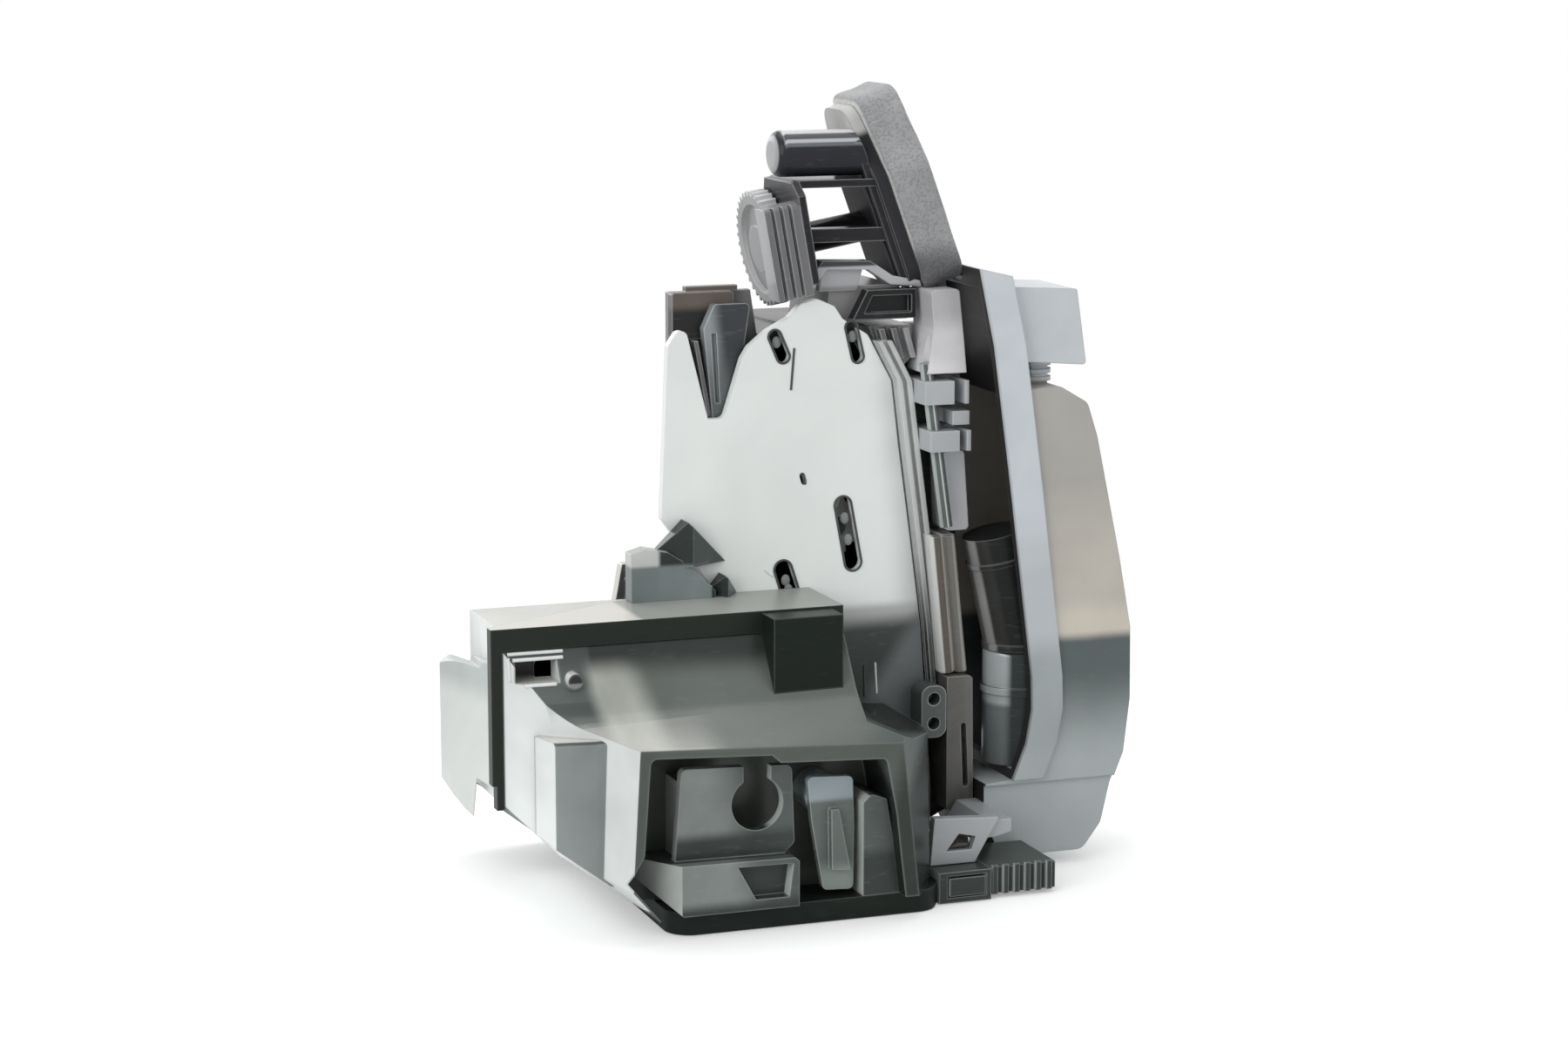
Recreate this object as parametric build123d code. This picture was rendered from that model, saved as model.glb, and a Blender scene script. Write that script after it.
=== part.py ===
from build123d import *
import math
import os

os.makedirs("parts", exist_ok=True)

# Door latch and lock actuator of a car, in millimetres.
# X runs outboard, Y points out of the shut face (Y = 0) and Z is up.
# The front that the door trim hides looks along -Y.

# Shut face and latch body
FACE_T = 3.0
BODY_DEPTH = 22.0
BODY_FLOOR = 3.0
BODY_INSET = 1.2
BACK_PLATE_T = 2.0
FIX_R = 3.0
FIX_COLLAR_R = 5.0
FIX_COLLAR_L = 6.0
FIX_POINTS = [(32.0, 50.5), (60.0, -21.0), (6.0, -24.0)]

# Striker mouth, fork and pawl
MOUTH_Z = -9.5
MOUTH_H = 15.0
CLAW_X = 20.0
CLAW_REACH = 20.0
CLAW_R = 28.0
CLAW_T = 8.0
CLAW_HUB_R = 10.0
CLAW_SWING = 55.0
THROAT_W = 13.0
NOTCH_DEPTH = 4.0
PAWL_X = 56.0
PAWL_DROP = 9.0
PAWL_HUB_R = 6.5
PIN_R = 5.0
RUN_FIT = 0.06
CLEAR = 0.4
MECH_GAP = 2.5
SPRING_WIRE_R = 0.8

# Gear case and its cover
COVER_FRONT = 50.0
COVER_T = 2.5
CASE_WALL = 2.2
CASE_FLOOR_T = 2.0
COVER_LEFT = 4.6
CASE_LEFT = 17.0
CASE_BOTTOM = -28.0
CASE_TOP = 93.5

# Latch box at the front
BOX_FRONT = 92.0
BOX_STEP_LENGTH = 11.0
BOX_ROOT_LENGTH = 20.0
BOX_LEFT = -39.4
BOX_RIGHT = 59.0
BOX_TOP = 27.5
BOX_BOTTOM = -31.0
RECESS_DEPTH = 17.0
ROOF_R = 14.0

DOWEL_X = -24.6
DOWEL_Z = 21.0
DOWEL_R = 1.7

# Shield flange over the latch box
FLANGE_RIGHT = 40.0
FLANGE_T = 5.0
FLANGE_RIB = 2.6
FLANGE_LOW = -8.0

# Cable seat and inside release lever
SEAT_T = 2.6
SEAT_R = 6.0
SEAT_NECK = 6.4
SEAT_X = 14.6
SEAT_Z = -8.0
BLOCK_RIGHT = 23.4
LEVER_X = 31.5
LEVER_Z = -8.2
LEVER_T = 4.0
LEVER_SKIN = 1.0
LEVER_PIN_R = 3.0

# Base pad
PAD_BOTTOM = -36.0

# Key coupling module on top
PLATE_TILT = 20.0
DISC_TILT = 10.0
FOAM_T = 10.5
FOAM_H = 48.0
FOAM_W = 30.0
FOAM_HOLE_R = 6.5
FOAM_X = 61.0
FOAM_Y = -37.0
FOAM_Z = 122.0
PLATE_T = 3.0
DISC_X = 36.6
DISC_Y = -30.5
DISC_Z = 109.5
DISC_R = 13.5
DISC_T = 4.0
DISC_TEETH = 36
SHAFT_R = 3.6
GUIDE_R = 5.3
GUIDE_Y = -44.0
GUIDE_Z = 132.0

# Right column, link rod and clips
COLUMN_FRONT = 58.0
COLUMN_BASE = 44.0
ROD_R = 1.5
ROD_TILT = 8.0
ROD_Y = -54.5

# Side tub
TUB_FRONT = 62.0
TUB_WALL = 2.2
TUB_STEP_Z = -15.6
SCREW_R = 1.6
EAR_SCREWS = [(75.5, 2.0), (75.5, 66.0)]
RIM_T = 1.2
RIM_W = 7.6
MOTOR_R = 8.0
MOTOR_X = 92.0
MOTOR_Y = -51.2
MOTOR_LOW = -12.2
MOTOR_TOP = 15.0
HEAD_R = 7.4
HEAD_TOP = 43.0
HEAD_LEAN = 12.6

# Plug block under the tub
PLUG_FRONT = 84.0

# Drive inside the case
WORM_R = 4.0
WORM_X = 26.4
GEAR_R = 15.0
GEAR_TEETH = 22
GEAR_Z = 52.0
GEAR_T = 5.0
GEAR_GAP = 7.0
GEAR_PIN_R = 2.0
LOCK_X = 50.5
LOCK_Z = 12.0
LOCK_HUB_R = 4.6
LOCK_LEVER_T = 3.4
LOCK_LEVER_GAP = 2.0

# Levels along Y worked out from the sizes above
BODY_FRONT = FACE_T + BODY_DEPTH
BACK_PLATE_FRONT = BODY_FRONT + BACK_PLATE_T
CASE_FLOOR_FRONT = BACK_PLATE_FRONT + CASE_FLOOR_T
CASE_FRONT = COVER_FRONT - COVER_T
TUB_BACK = BACK_PLATE_FRONT - TUB_WALL
CLAW_BACK = FACE_T + MECH_GAP
BOX_STEP = BOX_FRONT - BOX_STEP_LENGTH
BOX_BACK = BOX_FRONT - BOX_ROOT_LENGTH
SEAT_FRONT = BOX_FRONT - 6.0
LEVER_FRONT = BOX_FRONT - 4.0
RECESS_FLOOR = BOX_FRONT - RECESS_DEPTH
PIN_ROOT = RECESS_FLOOR - 9.0
PIN_TIP = LEVER_FRONT - 2 - LEVER_SKIN
MOUTH_END = CLAW_X + MOUTH_H / 2 + 1.0
CLAW_Z = MOUTH_Z + CLAW_REACH
PAWL_Z = CLAW_Z - PAWL_DROP
GEAR_X = WORM_X + WORM_R + GEAR_R + 0.6
WORM_Y = -(CASE_FLOOR_FRONT + 9.0)


def face_of(outline, radius=0.0, picks=None):
    """Flat face from a list of points, with some or all of its corners rounded."""
    face = make_face(Polyline(*outline, close=True))
    if radius > 0:
        corners = face.vertices()
        if picks is not None:
            corners = [nearest(corners, outline[i]) for i in picks]
        face = fillet(corners, radius)
    return face


def nearest(corners, point):
    """Corner of a flat face that lies closest to a point of its outline."""
    return min(corners, key=lambda v: (v.X - point[0]) ** 2 + (v.Y - point[1]) ** 2)


def slab(outline, front, back, radius=0.0, picks=None):
    """Plate between the planes Y = -front and Y = -back, from an outline in X and Z."""
    return extrude(Plane.XZ.offset(back) * face_of(outline, radius, picks), front - back)


def column(outline, low, high, radius=0.0, picks=None):
    """Upright solid between two heights, from an outline in X and Y."""
    return extrude(Plane.XY.offset(low) * face_of(outline, radius, picks), high - low)


def cuboid(x0, x1, front, back, z0, z1):
    """Box between two X values, the planes Y = -front and Y = -back, and two heights."""
    centre = ((x0 + x1) / 2, -(front + back) / 2, (z0 + z1) / 2)
    return Pos(*centre) * Box(x1 - x0, front - back, z1 - z0)


def rod_y(x, z, radius, front, back):
    """Round bar along Y between the planes Y = -front and Y = -back."""
    return extrude(Plane.XZ.offset(back) * Pos(x, z) * Circle(radius), front - back)


def rod_z(x, y, radius, low, high):
    """Round bar along Z between two heights."""
    return extrude(Plane.XY.offset(low) * Pos(x, y) * Circle(radius), high - low)


def save(name, shape):
    """Write one sub-part to its own file."""
    export_step(shape, f"parts/{name}.step")


# Latch mechanism behind the shut face

BODY_OUTLINE = [
    (-35.0, -14.0), (-35.0, 8.5), (-23.0, 8.5), (-16.5, 20.5), (7.5, 20.5), (9.5, 31.5),
    (24.0, 31.5), (24.0, 58.0), (54.0, 58.0), (69.0, 42.0), (69.0, -29.0), (0.0, -31.0),
    (-10.0, -31.0),
]


def mouth_cut(front, back):
    """Slot for the striker, open at the inboard edge and round at its closed end."""
    half = MOUTH_H / 2
    start = MOUTH_END - half
    slot = cuboid(-60, start, front, back, MOUTH_Z - half, MOUTH_Z + half)
    return slot + rod_y(start, MOUTH_Z, half, front, back)


def faceplate():
    """Steel plate that bolts to the door, with three threaded collars."""
    plate = slab(BODY_OUTLINE, FACE_T, 0, 4, [0, 1, 7, 8, 10, 12])
    for x, z in FIX_POINTS:
        plate += rod_y(x, z, FIX_COLLAR_R, FACE_T + FIX_COLLAR_L, FACE_T)
        plate -= rod_y(x, z, FIX_R, FACE_T + FIX_COLLAR_L, 0)
    plate -= mouth_cut(FACE_T, 0)
    for x, z in ((CLAW_X, CLAW_Z), (PAWL_X, PAWL_Z)):
        plate -= rod_y(x, z, PIN_R, FACE_T, 0)
    return plate


def latch_body():
    """Moulded body with the pocket for fork and pawl, open towards the faceplate."""
    inset_face = offset(face_of(BODY_OUTLINE), -BODY_INSET, kind=Kind.INTERSECTION)
    body = extrude(Plane.XZ.offset(FACE_T) * inset_face, BODY_FRONT - FACE_T)
    floor = BODY_FRONT - BODY_FLOOR
    pocket = rod_y(CLAW_X, CLAW_Z, CLAW_R + 1.5, floor, FACE_T)
    room = [(-12, -20), (-12, 17.8), (9.8, 17.8), (10.2, 29.0), (26.4, 29.0), (26.4, 52), (52, 52)]
    pocket &= slab(room + [(52, -20)], floor, FACE_T)
    reach = PAWL_HUB_R + 2.5
    pawl_room = [
        (CLAW_X + 4, CLAW_Z - CLAW_R), (CLAW_X, PAWL_Z), (CLAW_X + 26, PAWL_Z + 18),
        (PAWL_X + reach, PAWL_Z + 11), (PAWL_X + reach, PAWL_Z - reach),
        (PAWL_X - 4, PAWL_Z - 20), (PAWL_X - 16, PAWL_Z - 23),
    ]
    pocket += slab(pawl_room, floor, FACE_T)
    body -= pocket
    body -= mouth_cut(floor, FACE_T)
    for x, z in FIX_POINTS:
        body -= rod_y(x, z, FIX_COLLAR_R + CLEAR, BODY_FRONT, FACE_T)
    for x, z in ((CLAW_X, CLAW_Z), (PAWL_X, PAWL_Z)):
        body -= rod_y(x, z, PIN_R, BODY_FRONT, FACE_T)
    return body


def back_plate():
    """Steel plate behind the moulded body that holds the far ends of the two pins."""
    outline = [
        (8.0, 4.0), (10.0, 20.0), (14.0, 29.5), (52.0, 29.5), (65.0, 20.0), (65.0, -3.0),
        (54.0, -9.0), (24.0, -2.0),
    ]
    plate = slab(outline, BACK_PLATE_FRONT, BODY_FRONT, 4)
    for x, z in ((CLAW_X, CLAW_Z), (PAWL_X, PAWL_Z)):
        plate -= rod_y(x, z, PIN_R, BACK_PLATE_FRONT, BODY_FRONT)
    return plate


def ray_point(angle, radius):
    """Point at an angle and a distance from the fork's pivot."""
    a = math.radians(angle)
    return (CLAW_X + radius * math.cos(a), CLAW_Z + radius * math.sin(a))


def claw():
    """Forked catch that swings round the striker, shown open."""
    front = CLAW_BACK + CLAW_T
    throat_angle = -90 - CLAW_SWING
    wedge = [ray_point(throat_angle - 27, 2 * CLAW_R), (CLAW_X, CLAW_Z), ray_point(-22, 2 * CLAW_R)]
    wedge += [ray_point(-60, 2 * CLAW_R), ray_point(-100, 2 * CLAW_R), ray_point(-140, 2 * CLAW_R)]
    fork = rod_y(CLAW_X, CLAW_Z, CLAW_R, front, CLAW_BACK) & slab(wedge, front, CLAW_BACK)
    fork += rod_y(CLAW_X, CLAW_Z, CLAW_HUB_R, front, CLAW_BACK)
    throat = Pos(CLAW_REACH, 0) * Circle(THROAT_W / 2)
    throat += Pos(CLAW_REACH + CLAW_R / 2, 0) * Rectangle(CLAW_R, THROAT_W)
    turned = Pos(CLAW_X, CLAW_Z) * Rot(0, 0, throat_angle) * throat
    fork -= extrude(Plane.XZ.offset(CLAW_BACK) * turned, CLAW_T)
    for start in (-100, -72):
        notch = [
            ray_point(start, CLAW_R - NOTCH_DEPTH), ray_point(start, CLAW_R + 3),
            ray_point(start - 14, CLAW_R + 3), ray_point(start - 8, CLAW_R - NOTCH_DEPTH),
        ]
        fork -= slab(notch, front, CLAW_BACK)
    return fork - rod_y(CLAW_X, CLAW_Z, PIN_R + RUN_FIT, front, CLAW_BACK)


def pawl():
    """Catch that rides on the fork's rim and holds it when shut."""
    front = CLAW_BACK + CLAW_T
    tip = CLAW_R + CLEAR
    arm = [
        ray_point(-40, tip), ray_point(-50, tip), ray_point(-53, tip + 6),
        (PAWL_X - 4, PAWL_Z - PAWL_HUB_R - 2), (PAWL_X + 3, PAWL_Z - 4), (PAWL_X, PAWL_Z + 5),
        ray_point(-26, tip + 5),
    ]
    body = slab(arm, front, CLAW_BACK)
    body -= rod_y(CLAW_X, CLAW_Z, tip, front, CLAW_BACK)
    body += rod_y(PAWL_X, PAWL_Z, PAWL_HUB_R, front, CLAW_BACK)
    return body - rod_y(PAWL_X, PAWL_Z, PIN_R + RUN_FIT, front, CLAW_BACK)


def pivot_pin(x, z):
    """Steel pin riveted into the faceplate and the back plate."""
    return rod_y(x, z, PIN_R, BACK_PLATE_FRONT, 0)


def coil_spring(x, z, radius, turns):
    """Torsion spring wound round a pivot pin, in front of the part that it turns."""
    pitch = 2 * SPRING_WIRE_R + 0.3
    start = CLAW_BACK + CLAW_T + SPRING_WIRE_R + CLEAR
    path = Helix(pitch=pitch, height=pitch * turns, radius=radius)
    wire = sweep(Plane(origin=path @ 0, z_dir=path % 0) * Circle(SPRING_WIRE_R), path=path)
    return Pos(x, -start, z) * Rot(90, 0, 0) * wire


def mouth_bumper():
    """Rubber stop at the closed end of the striker mouth."""
    half = MOUTH_H / 2
    start = MOUTH_END - half
    floor = BODY_FRONT - BODY_FLOOR
    front = floor
    back = CLAW_BACK + CLAW_T + CLEAR
    pad = rod_y(start, MOUTH_Z, half, front, back) - rod_y(start - 3.5, MOUTH_Z, half, front, back)
    return pad - cuboid(start - 10, start, front, back, MOUTH_Z - half, MOUTH_Z + half)


def mouth_guard():
    """Flared inboard wall that guides the striker, with a hanging tab."""
    plan = [(-34.0, -50.0), (-41.4, -BODY_FRONT), (-38.8, -BODY_FRONT), (-34.0, -42.0)]
    wall = column(plan, -24, 22)
    outline = [
        (-42.0, -10.5), (-37.4, -18.0), (-36.9, -8.6), (-30.0, -12.0), (-30.0, 19.0),
        (-36.0, 19.0), (-36.4, 17.4), (-42.0, 17.4),
    ]
    return wall & slab(outline, 60, 20, 4, [7])


# Gear case and cover

CASE_OUTLINE = [
    (CASE_LEFT, CASE_BOTTOM), (CASE_LEFT, 61.0), (23.6, 70.0), (30.6, 90.6), (34.0, CASE_TOP),
    (52.0, CASE_TOP), (60.4, 78.0), (65.2, 41.6), (68.0, 21.0), (71.0, -17.0), (71.0, CASE_BOTTOM),
]
COVER_OUTLINE = [
    (16.6, CASE_BOTTOM), (16.6, 33.6), (4.6, 50.5), (COVER_LEFT, 52.2), (6.3, 90.0), (10.0, 95.4),
    (15.7, 72.8), (19.6, 72.8), (23.9, 86.3), (25.6, 89.0), (29.8, 92.4), (35.1, 95.2),
    (38.0, 98.2), (42.0, 99.3), (46.3, 97.4), (48.2, 94.5), (54.4, 90.6), (60.3, 79.7),
    (62.1, 64.7), (65.3, 41.6), (67.9, 21.7), (70.8, -16.9), (70.8, CASE_BOTTOM),
]


def main_case():
    """Deep tray that holds the drive, with a step to the rear at its upper end."""
    rear_step = 16.0
    deep = [(24.6, 60.0), (24.6, 73.0), (30.6, 90.6), (34.0, CASE_TOP), (52.0, CASE_TOP)]
    deep += [(60.4, 78.0), (62.7, 60.0)]
    outer = slab(CASE_OUTLINE, CASE_FRONT, BACK_PLATE_FRONT, 2, [4, 5])
    outer += slab(deep, BACK_PLATE_FRONT, rear_step)
    inner_face = offset(face_of(CASE_OUTLINE), -CASE_WALL, kind=Kind.INTERSECTION)
    depth = CASE_FRONT - CASE_FLOOR_FRONT
    inner = extrude(Plane.XZ.offset(CASE_FLOOR_FRONT) * inner_face, depth)
    inner_deep = offset(face_of(deep), -CASE_WALL, kind=Kind.INTERSECTION)
    floor = rear_step + CASE_FLOOR_T
    inner += extrude(Plane.XZ.offset(floor) * inner_deep, CASE_FLOOR_FRONT - floor)
    return outer - inner


def obround(x0, z0, x1, z1, width, front, back):
    """Slot with round ends between two points in X and Z."""
    length = math.hypot(x1 - x0, z1 - z0)
    turn = math.degrees(math.atan2(z1 - z0, x1 - x0))
    shape = Pos((x0 + x1) / 2, (z0 + z1) / 2) * Rot(0, 0, turn) * SlotCenterToCenter(length, width)
    return extrude(Plane.XZ.offset(back) * shape, front - back)


def main_cover():
    """Flat front cover with its notch, slots and raised stretch along the outboard edge."""
    picks = [4, 5, 7, 8, 10, 12, 13, 14, 16, 17]
    plate = slab(COVER_OUTLINE, COVER_FRONT, CASE_FRONT, 1.6, picks)
    front = COVER_FRONT
    back = CASE_FRONT
    plate -= obround(50.4, 92.4, 52.0, 85.6, 3.0, front, back)
    plate -= obround(31.8, 91.0, 33.8, 86.4, 3.2, front, back)
    plate -= obround(48.5, 51.2, 51.0, 37.7, 4.2, front, back)
    plate -= obround(33.8, 37.0, 36.2, 29.5, 4.4, front, back)
    plate -= obround(38.5, 58.6, 38.9, 57.2, 1.4, front, back)
    return plate


def cover_rail(neighbours):
    """Strip down the outboard side of the cover with two raised ridges."""
    inner = [(56.0, 89.0), (61.0, 79.5), (62.9, 64.7), (66.0, 41.6), (68.5, 21.7), (70.8, -4.0)]
    bar = Part()
    for start, width, proud in ((0.0, 4.4, -0.8), (0.6, 1.1, 1.2), (2.9, 1.2, 1.0)):
        near = [(x + start, z) for x, z in inner]
        far = [(x + start + width, z) for x, z in reversed(inner)]
        bar += slab(near + far, COVER_FRONT + proud, COVER_FRONT - 3.0)
    bar -= slab(COVER_OUTLINE, COVER_FRONT, CASE_FRONT)
    bar -= slab(CASE_OUTLINE, CASE_FRONT, BACK_PLATE_FRONT)
    for neighbour in neighbours:
        bar -= neighbour
    return bar


def ear_screws():
    """Two screws that hold the ear of the tub on the column."""
    group = []
    for x, z in EAR_SCREWS:
        head = rod_y(x, z, 2.8, TUB_BACK, TUB_BACK - 1.8)
        group.append(head + rod_y(x, z, SCREW_R, BACK_PLATE_FRONT + 4, TUB_BACK))
    return Compound(children=group)


# Latch box, its flange and what sits in its recess

def box_section(depth, points):
    """One XZ section of the latch box at a depth."""
    return Plane.XZ.offset(depth) * make_face(Polyline(*points, close=True))


def latch_box():
    """Front housing that tapers towards the recess, with a slanted roof and inboard side."""
    low = BOX_BOTTOM
    top = BOX_TOP
    right = BOX_RIGHT
    step = [(-29.5, -17.0), (-29.5, 13.5), (right - 2, 15.0), (right - 1, low), (-10.5, low)]
    root = [(BOX_LEFT, -7.0), (BOX_LEFT, top), (right, top), (right, low), (-11.0, low)]
    nose = [(-16.0, -24.0), (-14.2, 7.6), (47.0, 4.6), (51.0, low), (-10.0, low)]
    form = loft([box_section(BOX_BACK, root), box_section(BOX_STEP, step)], ruled=True)
    form += loft([box_section(BOX_STEP, step), box_section(BOX_FRONT, nose)], ruled=True)
    crease = form.edges().filter_by_position(Axis.Y, -BOX_STEP, -BOX_STEP).sort_by(Axis.Z)[-1]
    form = fillet(crease, ROOF_R)
    rear = [
        (BOX_LEFT, -BOX_BACK), (-34.0, -50.0), (-34.0, -BODY_FRONT), (6.0, -BODY_FRONT),
        (6.0, -BACK_PLATE_FRONT), (15.0, -BACK_PLATE_FRONT), (15.0, -COVER_FRONT),
        (right, -COVER_FRONT), (right, -BOX_BACK),
    ]
    hind = column(rear, low, top)
    hind &= slab([(-45, -4), (-45, 40), (right + 9, 40), (right + 9, low - 1), (-9, low - 1)], 80, 20)
    hollow = [
        (-31.0, -BOX_BACK + 3), (-31.0, -BODY_FRONT), (6.0, -BODY_FRONT), (12.5, -BACK_PLATE_FRONT),
        (12.5, -COVER_FRONT), (right - 3, -COVER_FRONT), (right - 3, -BOX_BACK + 3),
    ]
    hollow_room = column(hollow, low + 3, top - 2.5)
    hollow_room &= slab([(-42, -1), (-42, 40), (37, 40), (37, 6), (70, -4), (70, low), (-5, low)], 80, 20)
    form += hind - hollow_room
    form -= recess_room(BOX_FRONT + 1)
    form += box_bump()
    form -= box_pocket()
    form -= corner_room()
    form += rod_y(DOWEL_X, DOWEL_Z, DOWEL_R, BOX_BACK + 6.5, BOX_BACK - 2)
    form -= rod_y(LEVER_X, LEVER_Z, LEVER_PIN_R, RECESS_FLOOR + 1, PIN_ROOT)
    return form


def recess_room(front):
    """Hollow at the front of the latch box for the cable seat and the release lever."""
    recess = [(-13.4, -16.0), (-11.8, 5.6), (16.0, 4.2), (18.0, 2.4), (43.0, 1.2), (45.5, -12.0)]
    recess += [(46.6, -22.0), (48.0, -33.0), (-8.0, -33.0), (-17.0, -22.0)]
    return slab(recess, front, RECESS_FLOOR, 1.5, [0, 1, 4])


def box_bump():
    """Rounded boss on the inboard side, where the inner wall clears a bolt."""
    front = BOX_FRONT - 4.4
    plan = [(-34.0, -78.0), (-31.6, 1.6 - front), (-22.6, -front), (-17.0, -front), (-17.0, -82.0)]
    boss = column(plan, -26, 9.6)
    front_edges = boss.edges().filter_by(Axis.Z).sort_by(Axis.Y)[:2]
    top_edges = boss.edges().group_by(Axis.Z)[-1].sort_by(Axis.Y)[:2]
    boss = fillet(front_edges + top_edges, 1.4)
    return boss & slab([(-36, -11), (-36, 12), (-10, 12), (-10, -26), (-20, -23)], 95, 75)


def corner_room():
    """Space over the outboard shoulder of the box, where the gear cover runs down to it."""
    outline = [(FLANGE_RIGHT, 45.0), (FLANGE_RIGHT, 9.0), (51.0, 4.2), (75.0, 2.0), (75.0, 45.0)]
    return slab(outline, BOX_FRONT + 5, COVER_FRONT)


def box_pocket():
    """Small framed pocket in the roof behind the flange rib."""
    return cuboid(-37.0, -27.5, BOX_BACK + 6, BOX_BACK - 4, 20.6, 25.2)


def shield_flange():
    """Water shield above the latch box, with a short rib down its inboard edge."""
    plan = [
        (-42.0, -BOX_BACK - 0.5), (-42.0, -BOX_BACK + 2.5), (-24.0, -60.0), (-6.0, -COVER_FRONT),
        (15.0, -COVER_FRONT), (FLANGE_RIGHT, -COVER_FRONT), (FLANGE_RIGHT, -BOX_BACK - 0.5),
    ]
    top = column(plan, BOX_TOP, BOX_TOP + FLANGE_T)
    rib_front = BOX_BACK + 0.5
    rib = cuboid(-42.0, -42.0 + FLANGE_RIB, rib_front, rib_front - 3, FLANGE_LOW + 5.5, BOX_TOP)
    tail = cuboid(-41.0, -42.0 + FLANGE_RIB, rib_front, rib_front - 3, FLANGE_LOW, FLANGE_LOW + 5.5)
    return top + rib + tail


def roof_block(housing, shield):
    """Rectangular boss on the roof that covers the end of the linking lever."""
    block = cuboid(20.6, 37.0, BOX_BACK + 8.5, BOX_BACK - 4.0, 12.5, BOX_TOP + 4.6)
    block -= shield
    block -= housing
    return block & cuboid(0, 60, 90.0, BOX_BACK, 0, 60)


def gusset_block():
    """Moulded block above the flange with two pointed stiffening fins."""
    top = BOX_TOP + FLANGE_T
    outline = [(-4.2, top), (-4.2, 43.6), (-0.6, 44.6), (4.5, 43.6), (10.0, 40.0), (15.8, 34.2)]
    outline += [(15.8, top)]
    block = slab(outline, COVER_FRONT + 4.5, COVER_FRONT, 0.8, [2, 3])
    for apex_x, apex_z, half, low in ((9.2, 50.3, 10.5, 40.0), (18.2, 37.4, 4.2, 32.6)):
        foot = [(apex_x - half, -COVER_FRONT), (apex_x + half, -COVER_FRONT)]
        foot += [(apex_x + 0.1 * half, -COVER_FRONT - 5.5)]
        fin = column(foot, low, apex_z)
        keep = slab([(apex_x - half, low), (apex_x, apex_z), (apex_x + half, low)], 70, 40)
        block += fin & keep
    return block


def cable_bracket():
    """Plate in the recess with the keyhole seat for the inside release cable."""
    back = SEAT_FRONT - SEAT_T
    outline = [(-4.6, -20.0), (-3.0, 1.2), (22.7, 0.2), (23.4, -17.5), (20.8, -20.0)]
    plate = slab(outline, SEAT_FRONT, back, 1.5, [1, 2, 3])
    plate -= rod_y(SEAT_X, SEAT_Z, SEAT_R, SEAT_FRONT, back)
    half = SEAT_NECK / 2
    plate -= cuboid(SEAT_X - half, SEAT_X + half, SEAT_FRONT, back, SEAT_Z, 4)
    floor = RECESS_FLOOR
    web = cuboid(-3.2, 0.0, back, floor, -20.0, -2.0)
    front = BOX_FRONT - 1.6
    plan = [(-12.0, -RECESS_FLOOR), (-12.0, 11.0 - front), (-4.4, -front), (BLOCK_RIGHT - CLEAR, -front)]
    plan += [(BLOCK_RIGHT - CLEAR, -RECESS_FLOOR)]
    block = column(plan, BOX_BOTTOM, -18.6)
    lean = [(-12.0, -19.4), (22.0, -19.8), (BLOCK_RIGHT, -21.0), (BLOCK_RIGHT, -31.0), (-4.0, -31.0)]
    block &= slab(lean + [(-12.0, -24.0)], front, floor)
    block -= slab([(8.6, -20.9), (21.6, -21.1), (20.6, -28.6), (12.8, -28.6)], front, front - 3.2)
    return plate + web + block


def inside_lever():
    """Release lever that the cable pulls, with a hook rib down its front."""
    back = LEVER_FRONT - LEVER_T
    arm = [(26.4, -3.0), (37.2, -3.6), (37.6, -15.0), (37.4, -29.6), (30.2, -29.2), (27.4, -13.0)]
    lever = slab(arm, LEVER_FRONT - 2, back, 1.2)
    rib = [(31.4, -10.4), (33.2, -10.4), (36.0, -24.6), (31.6, -24.2)]
    lever += slab(rib, LEVER_FRONT, LEVER_FRONT - 2)
    lever += rod_y(LEVER_X, LEVER_Z, LEVER_PIN_R + 1.8, back, RECESS_FLOOR + CLEAR)
    bore = rod_y(LEVER_X, LEVER_Z, LEVER_PIN_R + RUN_FIT, PIN_TIP, RECESS_FLOOR)
    return lever - bore


def lever_pin():
    """Shaft of the release lever, seated in the recess floor."""
    return rod_y(LEVER_X, LEVER_Z, LEVER_PIN_R, PIN_TIP - CLEAR, PIN_ROOT)


def lever_guard():
    """Curved wall to the right of the release lever."""
    floor = RECESS_FLOOR
    outline = [(39.0, BOX_BOTTOM), (39.0, -9.5), (41.0, -7.6), (44.6, -9.0), (48.5, BOX_BOTTOM)]
    return slab(outline, BOX_FRONT - 4, floor, 1.5, [2]) & recess_room(BOX_FRONT)


def base_pad():
    """Dark foot under the latch box that ends level at the bottom."""
    plan = [(-6.0, -88.0), (56.0, -88.0), (66.0, -70.0), (60.0, -8.0), (0.0, -8.0), (-6.0, -20.0)]
    return column(plan, PAD_BOTTOM, BOX_BOTTOM, 6)


# Upper inboard corner, seen through the notch of the cover

def upper_bracket():
    """Plate on the slanted wall of the case that carries the bar and the tongue."""
    outline = [(9.4, 88.0), (9.4, 101.0), (29.0, 101.0), (30.6, 90.6), (23.6, 70.0), (16.0, 70.0)]
    plate = slab(outline, 41.0, 38.5)
    for i in range(2):
        shift = 2.5 * i
        rib = [(11.2 + shift, 90.3), (12.2 + shift, 90.3), (16.4 + 0.6 * shift, 73.0)]
        rib += [(15.4 + 0.6 * shift, 73.0)]
        plate += slab(rib, 46.0, 41.0)
    return plate


def upper_bar():
    """Short boxed bar across the upper inboard corner."""
    bar = slab([(9.2, 90.5), (9.2, 101.2), (24.0, 101.2), (24.0, 90.5)], 44.0, 41.0, 0.8)
    return bar + cuboid(12.7, 25.2, 43.0, 41.0, 101.2, 102.4)


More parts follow.
